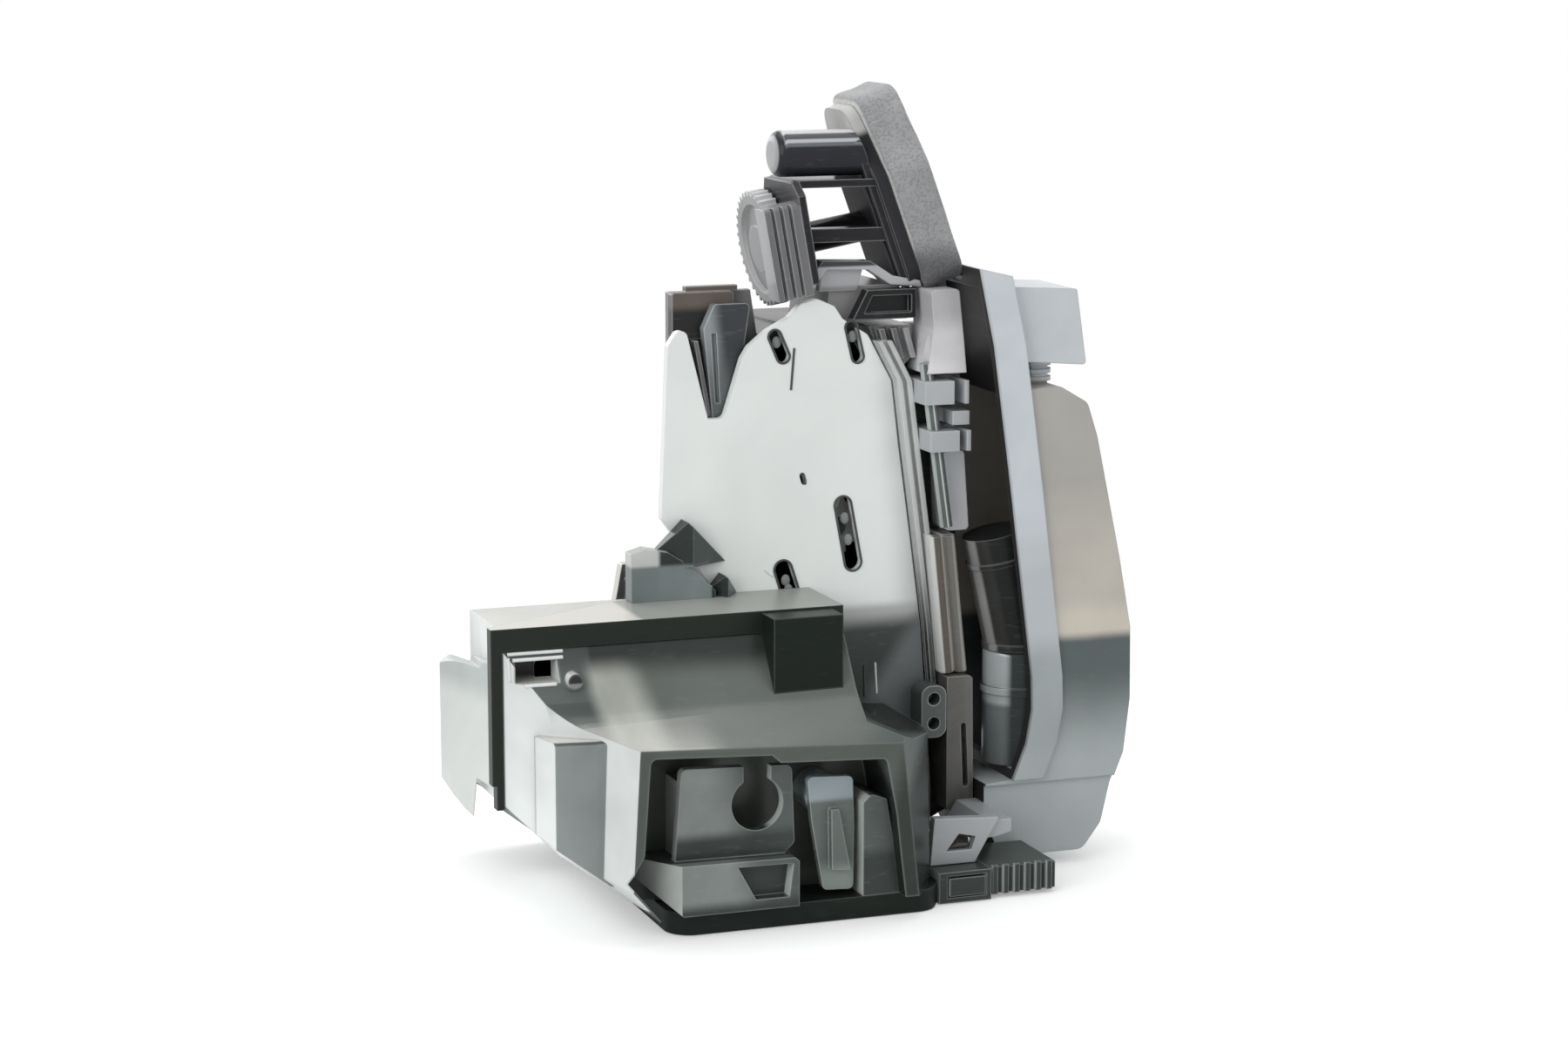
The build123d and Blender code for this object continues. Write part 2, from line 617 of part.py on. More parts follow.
def upper_tongue():
    """Rounded blade that hangs behind the notch."""
    outline = [(18.0, 71.5), (15.8, 93.0), (18.4, 98.6), (27.0, 98.6), (25.4, 88.0), (20.8, 71.5)]
    blade = slab(outline, 46.8, 44.0, 1.2)
    groove = [(18.6, 76.0), (17.6, 92.0), (18.8, 92.0), (19.6, 76.0)]
    return blade - slab(groove, 46.8, 45.8)


# Key coupling module on top of the case

PLATE_FRAME = Plane(
    origin=(FOAM_X, FOAM_Y, FOAM_Z), x_dir=(0, 1, 0),
    z_dir=(math.cos(math.radians(PLATE_TILT)), 0, math.sin(math.radians(PLATE_TILT))),
)
DISC_FRAME = Plane(
    origin=(DISC_X, DISC_Y, DISC_Z), x_dir=(0, 1, 0),
    z_dir=(math.cos(math.radians(DISC_TILT)), 0, math.sin(math.radians(DISC_TILT))),
)
LEFT_PLATE_AT = DISC_T / 2 + CLEAR
LEFT_PLATE_T = 1.8
SHAFT_END = 33.0


def pad_outline(inset):
    """Outline of the foam seal in its own plane, widest at the lower end."""
    half = FOAM_W / 2 - inset
    top = FOAM_H / 2 - inset
    points = [(-half, -top), (-half, 5.0), (-half + 6, top), (half - 6, top), (half, 5.0), (half, -top)]
    return face_of(points, 4.5)


def shaft_hole(radius):
    """Bar along the axis of the key coupling, used for every hole that it runs in."""
    return extrude(DISC_FRAME * Circle(radius), SHAFT_END + 10)


def foam_room():
    """Space that the foam seal takes, with a little air round it."""
    grown = offset(pad_outline(0), CLEAR)
    return extrude(PLATE_FRAME.offset(-CLEAR) * grown, FOAM_T + 2 * CLEAR)


def foam_gasket():
    """Thick foam seal that closes on the door skin, with a hole for the key cylinder."""
    return extrude(PLATE_FRAME * pad_outline(0), FOAM_T) - shaft_hole(FOAM_HOLE_R)


def coupling_flange():
    """Flange that backs the foam seal, with two stiffening ridges."""
    plate = extrude(PLATE_FRAME.offset(-PLATE_T) * pad_outline(2.2), PLATE_T)
    for x in (-11.0, -7.6):
        rib = Pos(x, -3.0) * Rectangle(1.2, FOAM_H - 12)
        plate += extrude(PLATE_FRAME.offset(-PLATE_T - 1.6) * rib, 1.6)
    return plate - shaft_hole(SHAFT_R + RUN_FIT)


def behind_flange():
    """Space on the inboard side of the flange, used to trim what ends on it."""
    return PLATE_FRAME * Pos(0, 0, -PLATE_T - 40) * Box(160, 160, 80)


def coupling_frame(flange):
    """Open frame between the key disc and the flange: plate, shelf and cross bar."""
    points = [(-21.5, -7.4), (-21.5, 13.0), (-18.5, 16.0), (0.0, 16.0), (6.0, 6.0), (6.0, -7.4)]
    plate = extrude(DISC_FRAME.offset(LEFT_PLATE_AT) * face_of(points), LEFT_PLATE_T)
    bars = cuboid(DISC_X, 60.0, 49.0, 30.0, 124.4, 126.2)
    bars += cuboid(DISC_X, 60.0, 48.0, 44.0, 111.8, 115.0)
    room = DISC_FRAME.offset(LEFT_PLATE_AT + LEFT_PLATE_T) * Pos(0, 0, 40) * Box(160, 160, 80)
    bars &= room
    bars &= behind_flange()
    frame = plate + bars
    frame -= flange
    return frame - shaft_hole(SHAFT_R + RUN_FIT)


def guide_pin(flange):
    """Round-ended pin that the flange carries above its window."""
    pin = Plane(origin=(33, GUIDE_Y, GUIDE_Z), x_dir=(0, 1, 0), z_dir=(1, 0, 0)) * Circle(GUIDE_R)
    bar = extrude(pin, 30)
    bar = fillet(bar.edges().group_by(Axis.X)[0], 2.4)
    bar &= behind_flange()
    return bar - flange


def disc_cover():
    """Ridged guard in front of the key disc."""
    points = [(-21.5, -9.6), (-21.5, 11.6), (-15.0, 11.6), (-15.0, -9.6)]
    start = LEFT_PLATE_AT - 8.6
    cover = extrude(DISC_FRAME.offset(start) * face_of(points, 1.0, [1]), 8.6)
    for i in range(3):
        groove = Pos(-21.5, 1.0) * Rectangle(3.0, 30.0)
        cover -= extrude(DISC_FRAME.offset(start + 1.5 + 2.1 * i) * groove, 0.9)
    return cover


def key_coupling():
    """Serrated disc and shaft that the key cylinder turns, with a slot in its end."""
    points = []
    for i in range(DISC_TEETH):
        for part, radius in ((-0.28, DISC_R - 0.9), (-0.12, DISC_R), (0.12, DISC_R), (0.28, DISC_R - 0.9)):
            a = 2 * math.pi * (i + part) / DISC_TEETH
            points.append((radius * math.cos(a), radius * math.sin(a)))
    disc = extrude(DISC_FRAME.offset(-DISC_T / 2) * face_of(points), DISC_T)
    disc -= extrude(DISC_FRAME.offset(-DISC_T / 2) * (Circle(10.5) - Circle(5.5)), 1.2)
    disc += extrude(DISC_FRAME.offset(DISC_T / 2 - 0.2) * Circle(SHAFT_R), SHAFT_END)
    slot = extrude(DISC_FRAME.offset(SHAFT_END - 4) * Rectangle(1.6, 2 * SHAFT_R), 8)
    return disc - slot


def top_housing(neighbours):
    """Raised top of the case under the coupling shaft, with its front arch."""
    outline = [(45.4, CASE_TOP), (46.4, 101.6), (63.6, 101.6), (65.6, CASE_TOP)]
    block = slab(outline, 46.5, 22.0, 2.0, [1, 2])
    hollow = [(47.6, CASE_TOP), (48.4, 99.4), (61.8, 99.4), (63.2, CASE_TOP)]
    block -= slab(hollow, 44.4, 24.0)
    arch = [(38.8, 100.6), (43.8, 107.8), (55.4, 107.4), (61.0, 103.8), (68.2, 102.4)]
    arch += [(68.2, 101.0), (60.4, 101.8), (55.0, 105.4), (44.8, 105.8), (40.8, 100.6)]
    block += slab(arch, 49.0, 45.0)
    block += slab([(43.4, 100.6), (44.4, 106.0), (54.2, 106.0), (52.6, 100.6)], 47.5, 45.0)
    block -= foam_room()
    for neighbour in neighbours:
        block -= neighbour
    return block


def clip_frame(flange):
    """Light frame round a dark window at the upper outboard corner of the case."""
    outer = [(50.8, 94.0), (54.4, 100.8), (66.4, 100.8), (66.4, 94.0)]
    inner = [(53.6, 95.4), (55.6, 99.4), (65.2, 99.4), (65.2, 95.4)]
    frame = slab(outer, 50.0, 46.6) - slab(inner, 50.0, 48.0)
    return frame - flange


def shoulder_fins(rail):
    """Block right of the cover's shoulder with three hanging ribs."""
    outline = [(56.0, 92.0), (66.4, 92.0), (66.4, 84.2), (60.6, 78.8), (60.4, 82.0)]
    block = slab(outline, 46.5, 34.0)
    for i in range(3):
        x = 57.6 + 3.0 * i
        rib = [(x, 91.6), (x + 1.3, 91.6), (x + 3.3, 84.6), (x + 2.0, 84.6)]
        block += slab(rib, 49.0, 46.5)
    block -= slab(CASE_OUTLINE, 50.0, 20.0)
    block -= slab(COVER_OUTLINE, COVER_FRONT, CASE_FRONT)
    return block - rail


# Right column with the link rod

def rod_line(low, high, radius):
    """Bar along the slanted axis of the link rod, between two heights."""
    tilt = math.radians(ROD_TILT)
    start = (70.0 - (low - 62.8) * math.tan(tilt), ROD_Y, low)
    axis = Plane(origin=start, x_dir=(0, 1, 0), z_dir=(-math.sin(tilt), 0, math.cos(tilt)))
    return extrude(axis * Circle(radius), (high - low) / math.cos(tilt))


def side_channel():
    """Base of the outboard column, on the case wall."""
    outline = [
        (60.4, 78.0), (65.2, 41.6), (68.0, 21.0), (71.0, -17.0), (71.0, CASE_BOTTOM), (79.2, -24.0),
        (79.4, 17.0), (79.2, 43.0), (78.2, 62.0), (76.8, 82.0), (66.4, 84.2),
    ]
    base = slab(outline, COLUMN_BASE, BACK_PLATE_FRONT)
    for x, z in EAR_SCREWS:
        base -= rod_y(x, z, SCREW_R, BACK_PLATE_FRONT + 4, BACK_PLATE_FRONT)
    return base


def case_rails():
    """Two round rails down the front of the column."""
    outline = [(68.4, 43.4), (71.6, 10.6), (78.6, 10.6), (75.0, 43.4)]
    block = slab(outline, 53.0, COLUMN_BASE)
    for top_x, low_x, radius in ((70.2, 73.4, 1.6), (73.6, 77.0, 1.4)):
        lean = math.atan2(low_x - top_x, 32.8)
        axis = Plane(
            origin=(low_x, -53.0, 10.6), x_dir=(0, 1, 0), z_dir=(-math.sin(lean), 0, math.cos(lean)),
        )
        block += extrude(axis * Circle(radius), 32.6 / math.cos(lean))
    return block


def channel_head():
    """Light block at the top of the column with the upper bore of the rod."""
    outline = [(66.6, 81.6), (68.2, 92.0), (67.4, 101.0), (74.4, 101.0), (75.6, 90.0), (76.4, 81.6)]
    block = slab(outline, 56.5, COLUMN_BASE, 1.0, [2, 3])
    tail = slab([(66.6, 82.6), (66.6, 92.0), (74.0, 92.0), (75.4, 82.6)], COLUMN_BASE, 40.0)
    tail -= slab([(60, 84.2), (66.4, 84.2), (76.8, 82.0), (76.8, 70), (60, 70)], 50, 30)
    head = block + tail - foam_room()
    return head - rod_line(78.0, 93.0, ROD_R + CLEAR)


def rod_clips():
    """Three clips that hold the rod to the column."""
    group = []
    for low, high, x0, x1 in ((74.6, 80.0, 65.6, 76.4), (63.6, 68.4, 67.0, 77.0)):
        clip = cuboid(x0, x1, COLUMN_FRONT, COLUMN_BASE, low, high)
        clip -= rod_line(low - 4, high + 4, ROD_R + RUN_FIT)
        group.append(clip - cuboid(x0 + 7.2, x1 - 1.0, COLUMN_FRONT, COLUMN_BASE + 4, low, high))
    group.append(cuboid(72.8, 77.0, COLUMN_FRONT - 1, COLUMN_BASE, 69.6, 72.8))
    return Compound(children=group)


def side_panel():
    """Light panel beside the rod."""
    outline = [(73.2, 44.0), (72.4, 62.8), (77.8, 62.8), (79.2, 44.0)]
    return slab(outline, 52.0, COLUMN_BASE, 1.0)


def link_rod():
    """Rod from the outside handle that slides in the clips."""
    return rod_line(45.5, 84.0, ROD_R)


def lower_column():
    """Lower front of the column below the rails."""
    outline = [(72.4, 10.0), (78.8, 10.0), (79.2, -22.0), (72.4, -22.0)]
    block = slab(outline, 56.0, COLUMN_BASE, 1.2, [1])
    return block - obround(76.6, -2.0, 77.2, -16.0, 1.4, 56.0, 53.0)


def screw_boss():
    """Rounded boss with two blind holes at the lower right of the cover."""
    boss = slab([(65.6, -4.0), (65.6, 8.4), (71.8, 8.4), (71.8, -4.0)], 57.0, COVER_FRONT, 2.4)
    for z in (5.2, -0.6):
        boss -= rod_y(68.7, z, 1.5, 57.0, 52.0)
    return boss


# Side tub and what it holds

TUB_RIM = [(77.0, 106.0), (80.8, 88.0), (85.3, 55.0), (91.0, 10.0), (91.2, 2.0), (89.8, -6.0)]
TUB_RIM += [(86.4, -14.5)]
TUB_OUTLINE = TUB_RIM + [
    (79.8, -15.0), (79.8, -23.0), (84.2, -33.2), (105.3, -33.2), (110.0, -27.0), (112.2, -17.5),
    (115.2, -10.0), (116.7, 3.0), (116.5, 20.0), (113.4, 37.0), (107.2, 66.0), (104.6, 74.0),
    (97.5, 78.2), (89.2, 77.6), (84.8, 104.2),
]


def side_tub():
    """Outboard cover, a deep tub that opens inboard, with its rear ear on the column."""
    back = TUB_BACK
    rounded = face_of(TUB_OUTLINE, 3.0, [10, 11, 17, 18, 19])
    outer = extrude(Plane.XZ.offset(back) * rounded, TUB_FRONT - back)
    inner_face = offset(face_of(TUB_OUTLINE), -TUB_WALL, kind=Kind.INTERSECTION)
    mouth = face_of([(70, 101.4), (80.4, 101.4), (84.4, 88), (94.4, 8), (91.4, -12.4), (70, -12.4)])
    depth = TUB_FRONT - TUB_WALL - BACK_PLATE_FRONT
    tub = outer - extrude(Plane.XZ.offset(BACK_PLATE_FRONT) * inner_face, depth)
    tub -= extrude(Plane.XZ.offset(BACK_PLATE_FRONT) * mouth, depth)
    ear = [(72.0, -10.0), (70.0, 60.0), (72.0, 80.0), (86.0, 80.0), (94.0, 0.0), (90.0, -10.0)]
    tub += slab(ear, BACK_PLATE_FRONT, back)
    for x, z in EAR_SCREWS:
        tub -= rod_y(x, z, SCREW_R, BACK_PLATE_FRONT, back)
    low_front = [(70, TUB_STEP_Z), (130, TUB_STEP_Z), (130, -40), (70, -40)]
    tub -= slab(low_front, TUB_FRONT, TUB_FRONT - 1.0)
    return tub - foam_room()


def tub_rim():
    """Flat light rim on the front of the tub, beside its mouth."""
    inner = [(x + RIM_W, z) for x, z in reversed(TUB_RIM[1:])]
    return slab(TUB_RIM + inner + [(84.8, 104.2)], TUB_FRONT + RIM_T, TUB_FRONT)


def connector_box():
    """Boxed plug housing beside the top of the tub, open to the rear."""
    outline = [(85.3, 101.4), (102.4, 100.4), (105.0, 82.6), (88.1, 84.0)]
    box = slab(outline, 60.0, 40.0, 0.8, [1, 2])
    inner_face = offset(face_of(outline), -2.0, kind=Kind.INTERSECTION)
    box -= extrude(Plane.XZ.offset(40.0) * inner_face, 17.0)
    return box - slab(TUB_OUTLINE, TUB_FRONT, BACK_PLATE_FRONT)


def cable_neck():
    """Ribbed neck between the plug housing and the tub."""
    neck = rod_z(95.2, -52.0, 3.2, 77.0, 85.0)
    for i in range(3):
        neck += rod_z(95.2, -52.0, 4.0, 78.6 + 1.8 * i, 79.6 + 1.8 * i)
    neck -= slab(TUB_OUTLINE, TUB_FRONT, BACK_PLATE_FRONT)
    return neck - slab([(85, 101), (102, 101), (105.0, 82.6), (88.1, 84.0)], 60.0, 40.0)


def deadlock_motor():
    """Round motor can that stands on the ledge of the tub, with a rolled ring."""
    can = rod_z(MOTOR_X, MOTOR_Y, MOTOR_R, MOTOR_LOW, MOTOR_TOP)
    can = fillet(can.edges().group_by(Axis.Z)[-1], 1.0)
    can += rod_z(MOTOR_X, MOTOR_Y, MOTOR_R + 0.5, 4.6, 6.4)
    return can - rod_z(MOTOR_X, MOTOR_Y, 2.6, MOTOR_LOW, MOTOR_LOW + 2)


def motor_gearhead():
    """Leaning gear head on top of the motor, with a clamping collar at its foot."""
    lean = math.radians(HEAD_LEAN)
    height = HEAD_TOP - MOTOR_TOP - 1.6
    axis = Plane(
        origin=(MOTOR_X - 0.4, MOTOR_Y, MOTOR_TOP + 1.6), x_dir=(0, 1, 0),
        z_dir=(-math.sin(lean), 0, math.cos(lean)),
    )
    drum = extrude(axis.offset(-4) * Circle(HEAD_R), height / math.cos(lean) + 4)
    drum += extrude(axis.offset(0.75 * height) * Circle(HEAD_R + 0.35), 1.2)
    drum -= cuboid(60, 120, 70, 30, MOTOR_TOP - 20, MOTOR_TOP + 1.5)
    return drum + rod_z(MOTOR_X, MOTOR_Y, MOTOR_R + 0.2, MOTOR_TOP, MOTOR_TOP + 1.6)


def snap_bracket():
    """Light snap bracket that joins the tub to the latch box."""
    outline = [(59.4, -28.6), (60.4, -17.6), (76.2, -18.6), (70.4, -28.6)]
    window = [(63.2, -25.6), (66.4, -21.6), (70.6, -22.6), (69.6, -25.6)]
    plate = slab(outline, 78.0, 75.4) - slab(window, 78, 75)
    arm = slab([(72.4, -23.6), (74.8, -19.6), (80.0, -19.6), (80.0, -22.6), (76.0, -23.6)], 76.6, 56.2)
    arm -= slab(TUB_OUTLINE, TUB_FRONT, BACK_PLATE_FRONT)
    arm -= slab(outline, 78.0, 75.4)
    foot = cuboid(59.4, 62.4, 75.4, 60.0, -28.4, -25.4)
    return plate + arm + foot


def connector_block():
    """Plug block under the tub, with moulded ribs to the right."""
    block = cuboid(59.2, 72.0, PLUG_FRONT, 66.0, PAD_BOTTOM, -28.8)
    block += cuboid(72.0, 88.6, PLUG_FRONT - 1.6, 63.0, PAD_BOTTOM + 0.8, -29.0)
    for i in range(6):
        x = 72.6 + 2.7 * i
        block += cuboid(x, x + 1.3, PLUG_FRONT - 0.6, PLUG_FRONT - 1.6, PAD_BOTTOM + 0.8, -28.4)
    block -= cuboid(61.2, 70.8, PLUG_FRONT, PLUG_FRONT - 1.2, -34.8, -29.8)
    return block - base_pad()


def connector_button():
    """Release key in the front of the plug block."""
    return cuboid(61.6, 70.4, PLUG_FRONT + 0.4, PLUG_FRONT - 1.2, -34.4, -30.2)


# Drive inside the case

def lock_motor():
    """Small flat-sided electric motor with its shaft stub."""
    body = rod_z(WORM_X, WORM_Y, 8.5, 4.0, 34.0)
    body &= cuboid(CASE_LEFT + CASE_WALL + CLEAR, 40.0, -WORM_Y + 6.5, -WORM_Y - 6.5, 4.0, 34.0)
    return body + rod_z(WORM_X, WORM_Y, 3.0, 34.0, 36.0)


def worm():
    """Worm on the motor shaft."""
    screw = rod_z(WORM_X, WORM_Y, 2.6, 38.0, 57.0)
    for i in range(6):
        screw += rod_z(WORM_X, WORM_Y, WORM_R, 41.0 + 2.4 * i, 42.3 + 2.4 * i)
    return screw - rod_z(WORM_X, WORM_Y, 1.0 + RUN_FIT, 38.0, 57.0)


def worm_shaft():
    """Steel shaft of the motor that carries the worm."""
    return rod_z(WORM_X, WORM_Y, 1.0, 36.0, 59.0)


def worm_gear():
    """Toothed wheel that the worm drives, with a driving pin on its face."""
    points = []
    for i in range(GEAR_TEETH):
        for part, radius in ((-0.3, GEAR_R - 1.8), (-0.14, GEAR_R), (0.14, GEAR_R), (0.3, GEAR_R - 1.8)):
            a = 2 * math.pi * (i + part) / GEAR_TEETH
            points.append((GEAR_X + radius * math.cos(a), GEAR_Z + radius * math.sin(a)))
    back = CASE_FLOOR_FRONT + GEAR_GAP
    front = back + GEAR_T
    wheel = slab(points, front, back)
    for i in range(6):
        a = math.radians(60 * i)
        x = GEAR_X + 0.57 * GEAR_R * math.cos(a)
        z = GEAR_Z + 0.57 * GEAR_R * math.sin(a)
        wheel -= rod_y(x, z, 0.16 * GEAR_R, front, back)
    wheel += rod_y(GEAR_X, GEAR_Z, 2 * GEAR_PIN_R, front + 3.0, back - 2.0)
    return wheel - rod_y(GEAR_X, GEAR_Z, GEAR_PIN_R + RUN_FIT, front + 3.0, back - 2.0)


def gear_pin():
    """Pin that carries the toothed wheel on the floor of the case."""
    front = CASE_FLOOR_FRONT + GEAR_GAP + GEAR_T + 5.0
    return rod_y(GEAR_X, GEAR_Z, GEAR_PIN_R, front, CASE_FLOOR_FRONT)


def lock_lever():
    """Lever that the wheel swings between locked and unlocked."""
    arm = [(45.0, 30.0), (49.0, 31.0), (53.5, 14.0), (56.0, -4.0), (51.5, -5.0), (48.5, 10.0)]
    back = CASE_FLOOR_FRONT + LOCK_LEVER_GAP
    front = back + LOCK_LEVER_T
    lever = slab(arm, front, back, 1.4)
    lever += rod_y(LOCK_X, LOCK_Z, LOCK_HUB_R, front + 1.6, back)
    return lever - rod_y(LOCK_X, LOCK_Z, GEAR_PIN_R + RUN_FIT, front + 1.6, back)


def lock_lever_pin():
    """Pin of the lock lever."""
    front = CASE_FLOOR_FRONT + LOCK_LEVER_GAP + LOCK_LEVER_T + 2.6
    return rod_y(LOCK_X, LOCK_Z, GEAR_PIN_R, front, CASE_FLOOR_FRONT)


def main():
    """Build every sub-part and write it to its own file."""
    housing = latch_box()
    shield = shield_flange()
    flange = coupling_flange()
    frame = coupling_frame(flange)
    guard = disc_cover()
    save("faceplate", faceplate())
    save("latch_body", latch_body())
    save("back_plate", back_plate())
    save("claw", claw())
    save("pawl", pawl())
    save("claw_pin", pivot_pin(CLAW_X, CLAW_Z))
    save("pawl_pin", pivot_pin(PAWL_X, PAWL_Z))
    save("claw_spring", coil_spring(CLAW_X, CLAW_Z, PIN_R + 1.6, 3))
    save("pawl_spring", coil_spring(PAWL_X, PAWL_Z, PIN_R + 1.4, 2))
    save("mouth_bumper", mouth_bumper())
    save("mouth_guard", mouth_guard())
    save("main_case", main_case())
    save("main_cover", main_cover())
    rails = case_rails()
    column_foot = lower_column()
    clips = rod_clips()
    boss = screw_boss()
    rail = cover_rail([rails, column_foot, boss, clips])
    save("cover_rail", rail)
    save("ear_screws", ear_screws())
    save("latch_box", housing)
    save("shield_flange", shield)
    save("roof_block", roof_block(housing, shield))
    save("gusset_block", gusset_block())
    save("cable_bracket", cable_bracket())
    save("inside_release_lever", inside_lever())
    save("lever_pin", lever_pin())
    save("lever_guard", lever_guard())
    save("base_pad", base_pad())
    save("upper_bracket", upper_bracket())
    save("upper_bar", upper_bar())
    save("upper_tongue", upper_tongue())
    save("foam_gasket", foam_gasket())
    save("coupling_flange", flange)
    save("coupling_frame", frame)
    save("guide_pin", guide_pin(flange))
    save("disc_cover", guard)
    save("key_coupling", key_coupling())
    save("top_housing", top_housing([flange, frame, guard]))
    save("clip_frame", clip_frame(flange))
    save("shoulder_fins", shoulder_fins(rail))
    save("side_channel", side_channel())
    save("case_rails", rails)
    save("channel_head", channel_head())
    save("rod_clips", clips)
    save("side_panel", side_panel())
    save("link_rod", link_rod())
    save("lower_column", column_foot)
    save("screw_boss", boss)
    save("side_tub", side_tub())
    save("tub_rim", tub_rim())
    save("connector_box", connector_box())
    save("cable_neck", cable_neck())
    save("deadlock_motor", deadlock_motor())
    save("motor_gearhead", motor_gearhead())
    save("snap_bracket", snap_bracket())
    save("connector_block", connector_block())
    save("connector_button", connector_button())
    save("lock_motor", lock_motor())
    save("worm", worm())
    save("worm_shaft", worm_shaft())
    save("worm_gear", worm_gear())
    save("gear_pin", gear_pin())
    save("lock_lever", lock_lever())
    save("lock_lever_pin", lock_lever_pin())


main()
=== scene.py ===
import math

import bmesh
import bpy
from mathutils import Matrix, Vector, noise


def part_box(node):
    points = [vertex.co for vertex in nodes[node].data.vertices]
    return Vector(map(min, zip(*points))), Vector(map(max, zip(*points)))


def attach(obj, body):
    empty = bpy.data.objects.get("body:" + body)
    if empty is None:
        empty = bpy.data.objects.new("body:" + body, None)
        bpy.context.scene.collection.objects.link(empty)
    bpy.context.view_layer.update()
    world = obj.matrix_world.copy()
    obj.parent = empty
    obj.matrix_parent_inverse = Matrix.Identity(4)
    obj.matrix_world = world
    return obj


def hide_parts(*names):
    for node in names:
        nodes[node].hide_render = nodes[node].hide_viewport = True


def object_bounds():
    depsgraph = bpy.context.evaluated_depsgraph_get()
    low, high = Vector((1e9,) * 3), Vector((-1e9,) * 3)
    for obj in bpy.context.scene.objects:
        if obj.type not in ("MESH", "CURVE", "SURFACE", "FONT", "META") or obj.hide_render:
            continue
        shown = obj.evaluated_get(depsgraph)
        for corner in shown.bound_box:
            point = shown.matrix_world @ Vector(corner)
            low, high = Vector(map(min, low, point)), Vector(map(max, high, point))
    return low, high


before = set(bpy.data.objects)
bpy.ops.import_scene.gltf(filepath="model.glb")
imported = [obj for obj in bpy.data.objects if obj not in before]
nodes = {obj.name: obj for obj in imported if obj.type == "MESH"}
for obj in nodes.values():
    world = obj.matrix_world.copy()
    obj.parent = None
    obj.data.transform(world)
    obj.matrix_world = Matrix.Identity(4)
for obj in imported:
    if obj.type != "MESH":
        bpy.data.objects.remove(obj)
solid_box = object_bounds()
scene = bpy.context.scene
scene.view_settings.view_transform = "Standard"


# Camera at the photograph's angle: about 20 degrees round to the inboard side of the
# front and 10 degrees above it, with a long lens, so the upright edges stay upright.

view_turn = math.radians(-20)
view_rise = math.radians(10)
camera_distance = 0.8
aim = Vector((0.034, -0.050, 0.048))
back = Vector((
    math.sin(view_turn) * math.cos(view_rise),
    -math.cos(view_turn) * math.cos(view_rise),
    math.sin(view_rise),
))
camera = bpy.data.objects.new("camera", bpy.data.cameras.new("camera"))
scene.collection.objects.link(camera)
camera.data.lens = 80.0
camera.data.sensor_width = 36.0
camera.data.clip_start = 0.01
camera.location = aim + back * camera_distance
camera.rotation_euler = back.to_track_quat("Z", "Y").to_euler()
scene.camera = camera


# Studio: a white sweep that the latch stands on, a large soft box on the inboard side
# that the glossy mouldings mirror, a weaker one outboard and a wide one overhead.

def soft_box(name, place, size, watts):
    """Area lamp that faces the latch."""
    lamp = bpy.data.lights.new(name, "AREA")
    lamp.shape = "RECTANGLE"
    lamp.size, lamp.size_y = size
    lamp.energy = watts
    holder = bpy.data.objects.new(name, lamp)
    holder.location = place
    holder.rotation_euler = (Vector(place) - aim).to_track_quat("Z", "Y").to_euler()
    scene.collection.objects.link(holder)


soft_box("soft_box_inboard", (-0.75, -0.55, 0.45), (0.7, 0.7), 4.6)
soft_box("soft_box_outboard", (0.75, -0.60, 0.30), (0.4, 0.6), 1.8)
soft_box("soft_box_overhead", (0.05, 0.10, 0.85), (0.8, 0.6), 3.6)
soft_box("soft_box_rear", (-0.30, 0.80, 0.40), (0.6, 0.6), 2.4)


def feed(tree, node, inputs):
    """Links inputs of a node to sockets, or sets them to plain values."""
    for label, value in inputs.items():
        if isinstance(value, bpy.types.NodeSocket):
            tree.links.new(value, node.inputs[label])
        else:
            node.inputs[label].default_value = value


def add_node(tree, kind, inputs, **settings):
    """New node with its settings and inputs."""
    made = tree.nodes.new(kind)
    for label, value in settings.items():
        setattr(made, label, value)
    feed(tree, made, inputs)
    return made


def math_node(tree, operation, first, second, clamp=False):
    """Result of a sum on sockets or plain numbers."""
    made = add_node(tree, "ShaderNodeMath", {0: first, 1: second}, operation=operation, use_clamp=clamp)
    return made.outputs[0]


def map_range(tree, value, source, target, smooth=False):
    """Value carried from one range over to another."""
    made = add_node(tree, "ShaderNodeMapRange", {
        "Value": value, "From Min": source[0], "From Max": source[1], "To Min": target[0], "To Max": target[1],
    }, interpolation_type="SMOOTHSTEP" if smooth else "LINEAR")
    return made.outputs[0]


world_share = 0.42
sky = bpy.data.worlds.new("studio_white")
scene.world = sky
sky.use_nodes = True
sky_tree = sky.node_tree
ray = add_node(sky_tree, "ShaderNodeLightPath", {})
seen = math_node(sky_tree, "MAXIMUM", ray.outputs["Is Camera Ray"], ray.outputs["Is Glossy Ray"])
feed(sky_tree, sky_tree.nodes["Background"], {
    "Color": (1, 1, 1, 1), "Strength": map_range(sky_tree, seen, (0.0, 1.0), (world_share, 1.0))})

